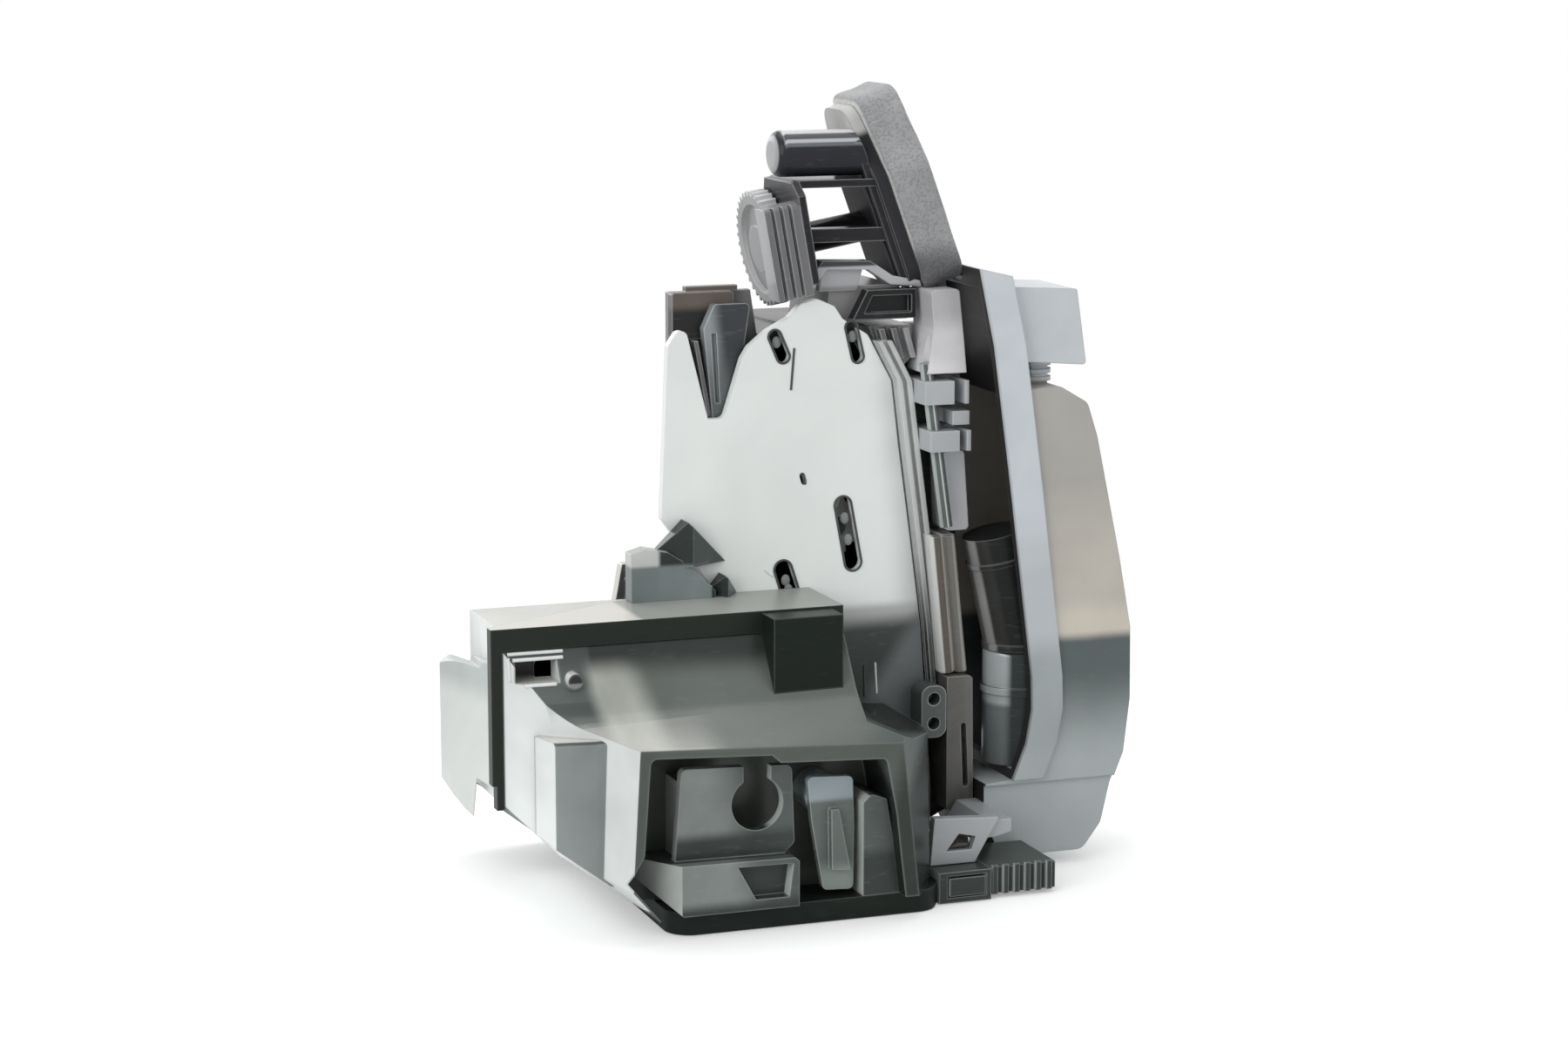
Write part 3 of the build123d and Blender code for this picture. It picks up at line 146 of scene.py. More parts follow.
foot_level = solid_box[0].z
floor_gap = 0.0002
sweep_mesh = bpy.data.meshes.new("studio_floor")
sweep = bmesh.new()
bmesh.ops.create_grid(sweep, x_segments=1, y_segments=1, size=1.5)
bmesh.ops.translate(sweep, verts=sweep.verts, vec=(0, 0, foot_level - floor_gap))
sweep.to_mesh(sweep_mesh)
sweep.free()
studio_floor = bpy.data.objects.new("studio_floor", sweep_mesh)
scene.collection.objects.link(studio_floor)
paper_glow = 0.30
paper_ends = (0.13, 0.30)
paper = bpy.data.materials.new("studio_paper")
paper.use_nodes = True
paper_tree = paper.node_tree
paper_ray = add_node(paper_tree, "ShaderNodeLightPath", {})
paper_place = add_node(paper_tree, "ShaderNodeTexCoord", {})
paper_middle = add_node(paper_tree, "ShaderNodeMapping", {
    "Vector": paper_place.outputs["Object"], "Location": (-0.04, 0.05, 0.0)})
paper_reach = add_node(paper_tree, "ShaderNodeVectorMath", {0: paper_middle.outputs[0]}, operation="LENGTH")
feed(paper_tree, paper_tree.nodes["Principled BSDF"], {
    "Base Color": (0.86, 0.87, 0.87, 1), "Roughness": 0.85, "Emission Color": (1, 1, 1, 1),
    "Emission Strength": math_node(paper_tree, "MULTIPLY", paper_ray.outputs["Is Camera Ray"], paper_glow),
    "Alpha": map_range(paper_tree, paper_reach.outputs["Value"], paper_ends, (1.0, 0.0), smooth=True),
})
sweep_mesh.materials.append(paper)


# Gear case and the mouldings on it: glass filled nylon, moulded black and glossy, which
# mirrors the studio and looks dark green where nothing bright faces it. Edges are
# rounded and carry a painted highlight, and the faces carry the fine grain of the spark eroded tool.

def new_group(name, inputs, outputs):
    """Empty shader node group with named inputs (with defaults) and outputs."""
    group = bpy.data.node_groups.new(name, "ShaderNodeTree")
    for label, kind, value in inputs:
        made = group.interface.new_socket(name=label, in_out="INPUT", socket_type=kind)
        made.default_value = value
    for label in outputs:
        kind = "NodeSocketVector" if label == "Normal" else "NodeSocketFloat"
        group.interface.new_socket(name=label, in_out="OUTPUT", socket_type=kind)
    return group, group.nodes.new("NodeGroupInput").outputs


def dot_node(tree, first, second):
    """Dot product of two vectors."""
    made = add_node(tree, "ShaderNodeVectorMath", {0: first, 1: second}, operation="DOT_PRODUCT")
    return made.outputs["Value"]


def rounded_edge_group():
    """Rounds the shading of sharp edges and finds them as a mask."""
    group, entry = new_group("rounded_edge", [("Radius", "NodeSocketFloat", 0.0006)], ("Normal", "Edge"))
    bevel = add_node(group, "ShaderNodeBevel", {"Radius": entry["Radius"]}, samples=6)
    flat = add_node(group, "ShaderNodeNewGeometry", {})
    same = dot_node(group, bevel.outputs["Normal"], flat.outputs["True Normal"])
    turned = math_node(group, "SUBTRACT", 1.0, same)
    mask_gain = 5.0
    mask = math_node(group, "MULTIPLY", turned, mask_gain, clamp=True)
    add_node(group, "NodeGroupOutput", {"Normal": bevel.outputs["Normal"], "Edge": mask})
    return group


def mould_grain_group():
    """Fine grain, slow flow marks and small scuffs of a moulded surface."""
    group, entry = new_group(
        "mould_grain", [("Scale", "NodeSocketFloat", 900.0), ("Flow", "NodeSocketFloat", 28.0)],
        ("Height", "Mottle", "Scuff"))
    place = add_node(group, "ShaderNodeTexCoord", {}).outputs["Object"]
    grain = add_node(group, "ShaderNodeTexNoise", {"Vector": place, "Scale": entry["Scale"], "Detail": 3.0})
    flow = add_node(group, "ShaderNodeTexNoise", {
        "Vector": place, "Scale": entry["Flow"], "Detail": 4.0, "Distortion": 0.6})
    stretch = add_node(group, "ShaderNodeMapping", {
        "Vector": place, "Scale": (1.0, 0.25, 6.0), "Rotation": (0.3, 0.5, 0.8)})
    scuff = add_node(group, "ShaderNodeTexNoise", {"Vector": stretch.outputs[0], "Scale": 190.0, "Detail": 5.0})
    scuff_levels = (0.60, 0.74)
    cut = map_range(group, scuff.outputs["Fac"], scuff_levels, (0.0, 1.0))
    add_node(group, "NodeGroupOutput", {
        "Height": grain.outputs["Fac"], "Mottle": flow.outputs["Fac"], "Scuff": cut})
    return group


def fade_group():
    """Runs from 0 to 1 between two levels along a direction through the part."""
    group, entry = new_group(
        "fade_along",
        [("Direction", "NodeSocketVector", (0, 0, 1)), ("Start", "NodeSocketFloat", 0.0),
         ("End", "NodeSocketFloat", 0.1), ("Ripple", "NodeSocketFloat", 0.0)],
        ("Fade",))
    place = add_node(group, "ShaderNodeTexCoord", {}).outputs["Object"]
    wave = add_node(group, "ShaderNodeTexNoise", {"Vector": place, "Scale": 22.0})
    centred = math_node(group, "SUBTRACT", wave.outputs["Fac"], 0.5)
    shift = math_node(group, "MULTIPLY", centred, entry["Ripple"])
    moved = math_node(group, "ADD", dot_node(group, place, entry["Direction"]), shift)
    fade = map_range(group, moved, (entry["Start"], entry["End"]), (0.0, 1.0), smooth=True)
    add_node(group, "NodeGroupOutput", {"Fade": fade})
    return group


def facing_group():
    """Finds the faces that look in one direction, such as the walls towards the window side."""
    group, entry = new_group(
        "facing_side",
        [("Direction", "NodeSocketVector", (0, 0, 1)), ("Low", "NodeSocketFloat", 0.5),
         ("High", "NodeSocketFloat", 0.8)],
        ("Side",))
    place = add_node(group, "ShaderNodeTexCoord", {})
    toward = dot_node(group, place.outputs["Normal"], entry["Direction"])
    side = map_range(group, toward, (entry["Low"], entry["High"]), (0.0, 1.0), smooth=True)
    add_node(group, "NodeGroupOutput", {"Side": side})
    return group


rounded_edge = rounded_edge_group()
mould_grain = mould_grain_group()
fade_along = fade_group()
facing_side = facing_group()


def mix_colours(tree, share, first, second):
    """Mix of two colours, each of them plain or a socket."""
    first, second = [(*colour, 1.0) if isinstance(colour, tuple) else colour for colour in (first, second)]
    return add_node(tree, "ShaderNodeMix", {0: share, 6: first, 7: second}, data_type="RGBA").outputs[2]


def dimmed(tree, colour, factor):
    """Colour made darker or paler by a socket."""
    return add_node(tree, "ShaderNodeVectorMath", {0: colour, "Scale": factor}, operation="SCALE").outputs[0]


def group_node(tree, group, **values):
    """Outputs of a shader group that runs with its inputs set."""
    return add_node(tree, "ShaderNodeGroup", values, node_tree=group).outputs


def fade_mask(tree, direction, start, end, ripple=0.0):
    """Share of a fade along a direction."""
    return group_node(tree, fade_along, Direction=direction, Start=start, End=end, Ripple=ripple)["Fade"]


def moulding(name, colour, roughness, scuff_and_edge_highlight=(0.5, 0.52, 0.51), mottle=0.25, bump=0.00002, grain=900.0,
             radius=0.0005, edge=0.5, fades=(), sides=(), gloss=0.25, metallic=0.0, scuff=0.06):
    """Moulded or pressed surface: body colour, fades along it, sides with painted light and shade, painted edge
    highlights, scuffs and grain.

    A fade has a direction, the levels where it starts and ends, a colour and a ripple. A side
    has a direction, how squarely a face must look that way, a colour, and the direction, the
    levels and the ripple of the stretch that it is limited to, or None.
    """
    made = bpy.data.materials.new(name)
    made.use_nodes = True
    tree = made.node_tree
    edges = group_node(tree, rounded_edge, Radius=radius)
    skin = group_node(tree, mould_grain, Scale=grain)
    tone = colour
    for direction, start, end, other, ripple in fades:
        tone = mix_colours(tree, fade_mask(tree, direction, start, end, ripple), tone, other)
    for direction, low, high, other, stretch in sides:
        share = group_node(tree, facing_side, Direction=direction, Low=low, High=high)["Side"]
        if stretch:
            share = math_node(tree, "MULTIPLY", share, fade_mask(tree, *stretch))
        tone = mix_colours(tree, share, tone, other)
    cloud_span = (0.3, 0.7)
    shinier, duller = 0.07, 0.09
    uneven = map_range(tree, skin["Mottle"], cloud_span, (1.0 - mottle, 1.0 + mottle))
    # Painted highlight along the edges, in the pale colour that the scuffs also use.
    edge_highlight = math_node(tree, "MULTIPLY", edges["Edge"], edge)
    marked = math_node(tree, "MULTIPLY", skin["Scuff"], scuff)
    raised = add_node(tree, "ShaderNodeBump", {
        "Distance": bump, "Height": skin["Height"], "Normal": edges["Normal"]})
    feed(tree, tree.nodes["Principled BSDF"], {
        "Base Color": mix_colours(tree, marked, mix_colours(tree, edge_highlight, dimmed(tree, tone, uneven), scuff_and_edge_highlight), scuff_and_edge_highlight),
        "Roughness": map_range(tree, skin["Mottle"], (0.0, 1.0), (roughness - shinier, roughness + duller)),
        "Normal": raised.outputs["Normal"],
        "Metallic": metallic,
        "Specular IOR Level": gloss,
    })
    return made


def dress(material, *names):
    """Give CAD pieces their finish."""
    for name in names:
        mesh = nodes[name].data
        mesh.materials.clear()
        mesh.materials.append(material)


black_nylon = moulding("black_nylon", (0.020, 0.024, 0.023), 0.24, scuff_and_edge_highlight=(0.42, 0.45, 0.44), gloss=0.2)
dress(black_nylon, "main_case", "side_channel", "lock_lever", "latch_body")
# Gearhead: the pale stripe and darker bands on its sides turned inboard are a painted highlight.
gearhead_black = moulding(
    "gearhead_black", (0.018, 0.020, 0.020), 0.24, scuff_and_edge_highlight=(0.40, 0.42, 0.42), edge=0.4, gloss=0.1, mottle=0.3,
    sides=(
        ((-1, 0, 0), 0.45, 0.65, (0.040, 0.040, 0.038), None),
        ((-1, 0, 0), 0.80, 0.88, (0.27, 0.275, 0.265), None),
        ((-1, 0, 0), 0.95, 0.985, (0.10, 0.10, 0.095), None),
    ),
)
dress(gearhead_black, "motor_gearhead")
inner_black = moulding(
    "inner_black", (0.014, 0.016, 0.017), 0.22, scuff_and_edge_highlight=(0.50, 0.53, 0.53), edge=0.6, gloss=0.2)
dress(inner_black, "clip_frame")
# Upper bar: black, with painted light on its top in a brownish tone.
bar_top_painted_light = moulding(
    "bar_top_painted_light", (0.020, 0.020, 0.020), 0.22, scuff_and_edge_highlight=(0.60, 0.60, 0.58), edge=0.8, gloss=0.2, mottle=0.3,
    fades=(((0, 0, 1), 0.0962, 0.0985, (0.125, 0.105, 0.090), 0.001),),
)
dress(bar_top_painted_light, "upper_bar")


# Front cover: a flat moulding over the gears that faces the light. Its pale silver grey is
# painted light, greyer on its outboard side, and the fall off to dark green down by the latch
# box is painted shade.

cover_sheen = moulding(
    "cover_sheen", (0.86, 0.900, 0.880), 0.30, scuff_and_edge_highlight=(0.94, 0.95, 0.945), mottle=0.05, edge=0.45, scuff=0.05,
    fades=(
        ((1, 0, 0.1), 0.062, 0.072, (0.60, 0.62, 0.615), 0.003),
        ((0, 0, -1), -0.0284, -0.0256, (0.48, 0.495, 0.490), 0.001),
        ((0, 0, -1), -0.0256, -0.0205, (0.058, 0.072, 0.066), 0.002),
        ((0.2, 0, -1), -0.0130, 0.002, (0.036, 0.047, 0.041), 0.006),
    ),
    sides=(((0, -1, 0), 0.90, 0.98, (0.150, 0.166, 0.168), ((1, 0, -0.7), 0.0478, 0.0548, 0.004)),),
)
dress(cover_sheen, "main_cover")
# Cover rail: darker towards the bottom, painted shade like the cover.
cover_edge = moulding(
    "cover_edge", (0.58, 0.60, 0.59), 0.26, scuff_and_edge_highlight=(0.85, 0.87, 0.86), edge=0.9, radius=0.0004,
    fades=(((0, 0, -1), -0.040, -0.016, (0.075, 0.085, 0.080), 0.004),),
)
dress(cover_edge, "cover_rail")


# Beads round the slots of the cover and the short raised ribs beside them, moulded in one
# piece with it. The domed heads of the snap pegs that hold the cover show in the slots.

mm = 0.001
cover_face = -0.0500
slot_places = [
    ((50.4, 92.4), (52.0, 85.6), 1.5), ((31.8, 91.0), (33.8, 86.4), 1.6),
    ((48.5, 51.2), (51.0, 37.7), 2.1), ((33.8, 37.0), (36.2, 29.5), 2.2),
]
slot_steps = 24
dark_ribs = [((36.5, 88.2), (35.7, 78.6)), ((53.9, 13.0), (54.0, 5.5)), ((38.4, 59.0), (39.1, 56.6))]
pale_ribs = [((56.6, 13.5), (57.0, 6.0)), ((29.2, 37.4), (31.2, 35.6))]
peg_level = -49.1
peg_places = [(51.0, 90.2), (32.5, 89.6), (49.2, 48.0), (50.1, 42.9), (34.7, 34.3), (35.4, 32.0)]


def kept_mesh(name, mesh):
    """Plain mesh with its faces turned outward."""
    bmesh.ops.recalc_face_normals(mesh, faces=mesh.faces)
    made = bpy.data.meshes.new(name)
    mesh.to_mesh(made)
    mesh.free()
    return made


def placed(name, mesh, finish=None):
    """Piece for a mesh whose points are already in place."""
    made = bpy.data.objects.new(name, mesh)
    scene.collection.objects.link(made)
    if finish:
        mesh.materials.append(finish)
    return made


def paths_mesh(name, loops, lines, y):
    """Mesh of bare edges: closed rounded slots and straight ribs in a plane of the cover."""
    mesh = bmesh.new()
    for first, last, half in loops:
        start = Vector(first)
        end = Vector(last)
        lean = math.atan2((end - start).y, (end - start).x)
        ring = []
        for k in range(slot_steps):
            angle = lean + math.pi / 2 + math.tau * (k + 0.5) / slot_steps
            middle = start if k < slot_steps / 2 else end
            spot = middle + Vector((math.cos(angle), math.sin(angle))) * half
            ring.append(mesh.verts.new((spot.x * mm, y, spot.y * mm)))
        for k in range(slot_steps):
            mesh.edges.new((ring[k], ring[(k + 1) % slot_steps]))
    for ends in lines:
        mesh.edges.new([mesh.verts.new((x * mm, y, z * mm)) for x, z in ends])
    return kept_mesh(name, mesh)


def geometry_tree(name, inputs):
    """Empty geometry tree, and its inputs: the mesh that it starts from and named ones."""
    tree = bpy.data.node_groups.new(name, "GeometryNodeTree")
    tree.interface.new_socket(name="Geometry", in_out="INPUT", socket_type="NodeSocketGeometry")
    for label, kind in inputs:
        tree.interface.new_socket(name=label, in_out="INPUT", socket_type=kind)
    tree.interface.new_socket(name="Geometry", in_out="OUTPUT", socket_type="NodeSocketGeometry")
    return tree, tree.nodes.new("NodeGroupInput").outputs


def finish_tree(tree, entry, geometry, smooth=True):
    """Ends a geometry tree: real faces, shading and the finish."""
    real = add_node(tree, "GeometryNodeRealizeInstances", {0: geometry})
    shade = add_node(tree, "GeometryNodeSetShadeSmooth", {"Geometry": real.outputs[0], "Shade Smooth": smooth})
    paint = add_node(tree, "GeometryNodeSetMaterial", {
        "Geometry": shade.outputs[0], "Material": entry["Finish"]})
    add_node(tree, "NodeGroupOutput", {0: paint.outputs[0]})


def bead_tree():
    """Round bead along every edge path of a mesh."""
    tree, entry = geometry_tree(
        "bead_on_paths",
        [("Bead Radius", "NodeSocketFloat"), ("Sides", "NodeSocketInt"), ("Finish", "NodeSocketMaterial")])
    path = add_node(tree, "GeometryNodeMeshToCurve", {"Mesh": entry["Geometry"]})
    profile = add_node(tree, "GeometryNodeCurvePrimitiveCircle", {
        "Radius": entry["Bead Radius"], "Resolution": entry["Sides"]})
    sweep_path = add_node(tree, "GeometryNodeCurveToMesh", {
        "Curve": path.outputs[0], "Profile Curve": profile.outputs["Curve"], "Fill Caps": True})
    finish_tree(tree, entry, sweep_path.outputs[0])
    return tree


def peg_tree():
    """Domed peg head on every vertex, facing the front."""
    tree, entry = geometry_tree(
        "peg_heads",
        [("Head Radius", "NodeSocketFloat"), ("Dome", "NodeSocketFloat"), ("Finish", "NodeSocketMaterial")])
    ball = add_node(tree, "GeometryNodeMeshUVSphere", {
        "Segments": 20, "Rings": 10, "Radius": entry["Head Radius"]})
    flatten = add_node(tree, "ShaderNodeCombineXYZ", {"X": 1.0, "Y": entry["Dome"], "Z": 1.25})
    place = add_node(tree, "GeometryNodeInstanceOnPoints", {
        "Points": entry["Geometry"], "Instance": ball.outputs["Mesh"], "Scale": flatten.outputs[0]})
    finish_tree(tree, entry, place.outputs[0])
    return tree


def grow(name, start_mesh, tree, values):
    """Piece made by a geometry tree with its inputs set, kept as a plain mesh."""
    piece = placed(name, start_mesh)
    maker = piece.modifiers.new("maker", "NODES")
    maker.node_group = tree
    for item in tree.interface.items_tree:
        if item.item_type == "SOCKET" and item.in_out == "INPUT" and item.name in values:
            maker[item.identifier] = values[item.name]
    state = bpy.context.evaluated_depsgraph_get()
    made = bpy.data.meshes.new_from_object(piece.evaluated_get(state))
    piece.modifiers.remove(maker)
    piece.data = made
    made.name = name
    return piece


def points_mesh(name, places, lines=()):
    """Mesh of loose points, given in millimetres, and of the lines between them."""
    made = bpy.data.meshes.new(name)
    made.from_pydata([(x * mm, y * mm, z * mm) for x, y, z in places], lines, [])
    return made


bead_on_paths = bead_tree()
bead_dark = moulding("bead_dark", (0.055, 0.065, 0.062), 0.25, scuff_and_edge_highlight=(0.30, 0.32, 0.31), edge=0.2)
bead_pale = moulding("bead_pale", (0.80, 0.83, 0.82), 0.25, scuff_and_edge_highlight=(0.90, 0.91, 0.91), edge=0.2, mottle=0.1)
slot_beads = grow(
    "slot_beads", paths_mesh("slot_beads", slot_places, dark_ribs, cover_face), bead_on_paths,
    {"Bead Radius": 0.00028, "Sides": 8, "Finish": bead_dark})
cover_ribs = grow(
    "cover_ribs", paths_mesh("cover_ribs", [], pale_ribs, cover_face), bead_on_paths,
    {"Bead Radius": 0.00030, "Sides": 8, "Finish": bead_pale})
peg_pale = moulding("peg_pale", (0.22, 0.24, 0.24), 0.22, scuff_and_edge_highlight=(0.70, 0.72, 0.71), edge=0.4, mottle=0.2)
cover_pegs = grow(
    "cover_pegs", points_mesh("cover_pegs", [(x, peg_level, z) for x, z in peg_places]), peg_tree(),
    {"Head Radius": 0.00110, "Dome": 0.45, "Finish": peg_pale})
for piece in (slot_beads, cover_ribs, cover_pegs):
    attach(piece, "housing")


# Rails and column down the outboard edge of the case, and the fins and bracket at its
# shoulder: glossy nylon mouldings. The pale rails and the bright and dark lines that run
# down their length are a painted reflection of the studio.

column_rails = moulding(
    "column_rails", (0.74, 0.75, 0.73), 0.22, scuff_and_edge_highlight=(0.80, 0.81, 0.79), edge=0.3, mottle=0.1,
    fades=(
        ((1, 0, 0.1), 0.0735, 0.0739, (0.115, 0.100, 0.080), 0.0002),
        ((1, 0, 0.1), 0.0752, 0.0757, (0.50, 0.50, 0.47), 0.0002),
        ((1, 0, 0.1), 0.0764, 0.0768, (0.17, 0.163, 0.145), 0.0002),
        ((1, 0, 0.1), 0.0780, 0.0784, (0.36, 0.355, 0.33), 0.0002),
        ((1, 0, 0.1), 0.0790, 0.0795, (0.075, 0.070, 0.060), 0.0),
    ),
)
dress(column_rails, "case_rails")
column_foot = moulding(
    "column_foot", (0.125, 0.122, 0.113), 0.26, scuff_and_edge_highlight=(0.50, 0.50, 0.48), edge=0.8, mottle=0.4,
    fades=(((1, 0, 0), 0.0762, 0.0778, (0.15, 0.148, 0.14), 0.001),),
)
dress(column_foot, "lower_column")
shoulder = moulding(
    "shoulder", (0.20, 0.20, 0.205), 0.24, scuff_and_edge_highlight=(0.75, 0.76, 0.77), edge=0.8, mottle=0.4,
    fades=(((1, 0, 0), 0.0615, 0.0650, (0.48, 0.48, 0.49), 0.004),),
)
dress(shoulder, "shoulder_fins", "upper_bracket")


# Latch box: the deep front housing, glossy black, dark green on its sloping roof. Painted
# light makes its inboard walls, tops and fronts pale, and painted shade darkens it under the
# flange, towards its outboard side and in the recess. A thin moulded frame runs round the
# small pocket in the roof; its pale colour is a painted highlight.

box_gloss = moulding(
    "box_gloss", (0.115, 0.130, 0.118), 0.22, scuff_and_edge_highlight=(0.50, 0.54, 0.51), mottle=0.20, edge=0.35, scuff=0.03,
    radius=0.0009, gloss=0.3,
    fades=(
        ((-1, 0.1, -0.25), -0.0065, 0.0000, (0.40, 0.42, 0.38), 0.008),
        ((-1, 0.1, -0.25), 0.0050, 0.0085, (0.075, 0.090, 0.083), 0.010),
        ((1, 0.1, 0), 0.026, 0.038, (0.080, 0.096, 0.092), 0.004),
        ((0, 0, 1), 0.0195, 0.0250, (0.026, 0.032, 0.028), 0.006),
        ((0, 1, -1), -0.0900, -0.0810, (0.012, 0.015, 0.013), 0.0),
    ),
    sides=(
        ((0, -1, 0), 0.93, 0.985, (0.085, 0.098, 0.086), None),
        ((0, -1, 0), 0.93, 0.985, (0.026, 0.033, 0.028), ((1, 0, -0.3), 0.044, 0.050, 0.0)),
        ((0, -1, 0), 0.80, 0.95, (0.25, 0.28, 0.275), ((-1, 0, 0), 0.0195, 0.0205, 0.0)),
        ((0, -1, 0), 0.96, 0.995, (0.020, 0.020, 0.024), ((0, 0, 1), 0.0203, 0.0208, 0.0)),
        ((0, 0, 1), 0.80, 0.95, (0.60, 0.60, 0.56), ((-1, 0, 0), -0.0080, 0.0000, 0.001)),
        ((-1, 0, 0), 0.36, 0.58, (0.78, 0.815, 0.805), ((-1, 0, 0), 0.0118, 0.0128, 0.0)),
    ),
)
dress(box_gloss, "latch_box")
# Pocket frame: pale beads, a painted highlight along the frame.
pocket_corners = [
    (-38.3, -72.4, 26.8), (-25.8, -72.5, 26.8), (-37.4, -73.3, 25.6), (-26.0, -73.3, 25.6),
    (-35.6, -76.4, 20.4), (-28.4, -76.6, 20.4), (-38.4, -73.2, 26.2), (-38.0, -73.4, 21.0),
]
pocket_lines = [(0, 1), (2, 3), (4, 5), (6, 7)]
pocket_frame = grow(
    "pocket_frame", points_mesh("pocket_frame", pocket_corners, pocket_lines), bead_on_paths,
    {"Bead Radius": 0.00042, "Sides": 10, "Finish": bead_pale})
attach(pocket_frame, "housing")


# Shield flange: a ledge of black nylon over the latch box that keeps water off the gear
# case, moulded with a short rib down its inboard edge. A boss on the roof of the box and
# a block with two stiffening fins stand against it.

# Shield flange: its top faces carry painted light, pale at the inboard end and greyer outboard of it in painted
# shade.
flange_black = moulding(
    "flange_black", (0.020, 0.026, 0.021), 0.30, scuff_and_edge_highlight=(0.20, 0.22, 0.21), edge=0.3, mottle=0.1, scuff=0.02,
    gloss=0.12,
    sides=(
        ((0, 0, 1), 0.80, 0.95, (0.66, 0.65, 0.60), None),
        ((0, 0, 1), 0.80, 0.95, (0.33, 0.345, 0.32), ((1, 0, 0), -0.0085, -0.0065, 0.0)),
    ),
)
dress(flange_black, "shield_flange")
roof_black = moulding(
    "roof_black", (0.010, 0.015, 0.012), 0.28, scuff_and_edge_highlight=(0.30, 0.33, 0.31), edge=0.35, mottle=0.1, scuff=0.02,
    gloss=0.12)
dress(roof_black, "roof_block")
# Gusset block: mid grey, pale at its upper inboard corner and dark outboard of it; its top faces are paler with
# painted light and its faces turned outboard darker with painted shade.
gusset_grey = moulding(
    "gusset_grey", (0.60, 0.62, 0.60), 0.26, scuff_and_edge_highlight=(0.60, 0.63, 0.62), edge=0.5, gloss=0.2, radius=0.0003,
    fades=(
        ((1, 0, 0), 0.0018, 0.0030, (0.028, 0.036, 0.033), 0.0),
        ((0, 0, -1), -0.0412, -0.0400, (0.190, 0.220, 0.225), 0.0),
        ((1, 0, 0), 0.0146, 0.0152, (0.026, 0.034, 0.031), 0.0),
    ),
    sides=(
        ((1, 0, 0), 0.30, 0.60, (0.075, 0.095, 0.092), None),
        ((0, 0, 1), 0.70, 0.90, (0.40, 0.43, 0.41), None),
    ),
)
dress(gusset_grey, "gusset_block")


# Recess of the latch box: the plate with the keyhole seat of the release cable, the lever
# that the cable pulls and the curved wall beside it, moulded in grey nylon like the plug
# block under the tub and the screw boss. The foot under the box is black.

base_black = moulding("base_black", (0.012, 0.017, 0.014), 0.38, edge=0.15, gloss=0.15, scuff=0.02)
dress(base_black, "base_pad")
# Faces turned inboard and the lower inboard part are painted pale as light, and the parts deeper in the recess
# are painted dark as shade.
bracket_grey = moulding(
    "bracket_grey", (0.095, 0.110, 0.106), 0.24, scuff_and_edge_highlight=(0.55, 0.60, 0.59), edge=0.55, mottle=0.3,
    fades=(
        ((-1, 0, -0.2), -0.012, -0.002, (0.25, 0.275, 0.265), 0.004),
        ((0, 1, -0.3), -0.0822, -0.0812, (0.045, 0.055, 0.050), 0.0),
    ),
    sides=(((-1, 0, 0), 0.30, 0.60, (0.52, 0.56, 0.53), None),),
)
dress(bracket_grey, "cable_bracket", "lever_guard", "connector_block", "connector_button")
boss_grey = moulding("boss_grey", (0.095, 0.108, 0.103), 0.22, scuff_and_edge_highlight=(0.60, 0.64, 0.63), edge=1.0, mottle=0.3)
dress(boss_grey, "screw_boss")
lever_grey = moulding(
    "lever_grey", (0.125, 0.148, 0.136), 0.26, scuff_and_edge_highlight=(0.66, 0.70, 0.70), edge=0.6, mottle=0.2,
    fades=(
        ((0, 0, 1), -0.0095, -0.0080, (0.30, 0.35, 0.375), 0.001),
        ((0, 0, -1), 0.0215, 0.0260, (0.25, 0.29, 0.265), 0.002),
    ),
)
dress(lever_grey, "inside_release_lever", "lever_pin")


# Tongue at the top of the case: a rounded blade of glossy nylon, moulded with a groove
# down its face, that hangs from the upper bracket behind the notch. Its grey is a painted
# highlight that fades to dark on its outboard side; it is darker towards its lower end.

tongue_sheen = moulding(
    "tongue_sheen", (0.28, 0.305, 0.32), 0.24, scuff_and_edge_highlight=(0.75, 0.78, 0.79), edge=0.8, mottle=0.3,
    fades=(
        ((1, 0, 0.1), 0.0262, 0.0305, (0.040, 0.044, 0.050), 0.003),
        ((0, 0, -1), -0.0900, -0.0760, (0.13, 0.145, 0.150), 0.002),
    ),
)
dress(tongue_sheen, "upper_tongue")


# Striker guard: the flared inboard wall beside the mouth, a thin moulding that leads the
# striker in. It faces the light, and its pale colour is painted light, a little darker towards the top.

guard_painted_light = moulding(
    "guard_painted_light", (0.70, 0.735, 0.71), 0.30, scuff_and_edge_highlight=(0.86, 0.88, 0.88), edge=0.35, mottle=0.1,
    fades=(((0, 0, 1), 0.0080, 0.0150, (0.50, 0.54, 0.53), 0.003),),
)
dress(guard_painted_light, "mouth_guard")


# Key coupling on top of the case: flange, open frame and guide pin are one glossy black
# moulding each. The ridged disc cover and the toothed disc that the key cylinder turns
# are paler.

coupling_black = moulding(
    "coupling_black", (0.022, 0.022, 0.026), 0.20, scuff_and_edge_highlight=(0.60, 0.61, 0.63), edge=0.7, mottle=0.3, gloss=0.15)
dress(coupling_black, "coupling_frame")
flange_dull = moulding(
    "flange_dull", (0.040, 0.040, 0.045), 0.45, scuff_and_edge_highlight=(0.30, 0.31, 0.32), edge=0.6, mottle=0.2, gloss=0.04,
    fades=(((-0.342, 0, 0.940), 0.1085, 0.1105, (0.60, 0.60, 0.585), 0.001),),
)
dress(flange_dull, "coupling_flange")
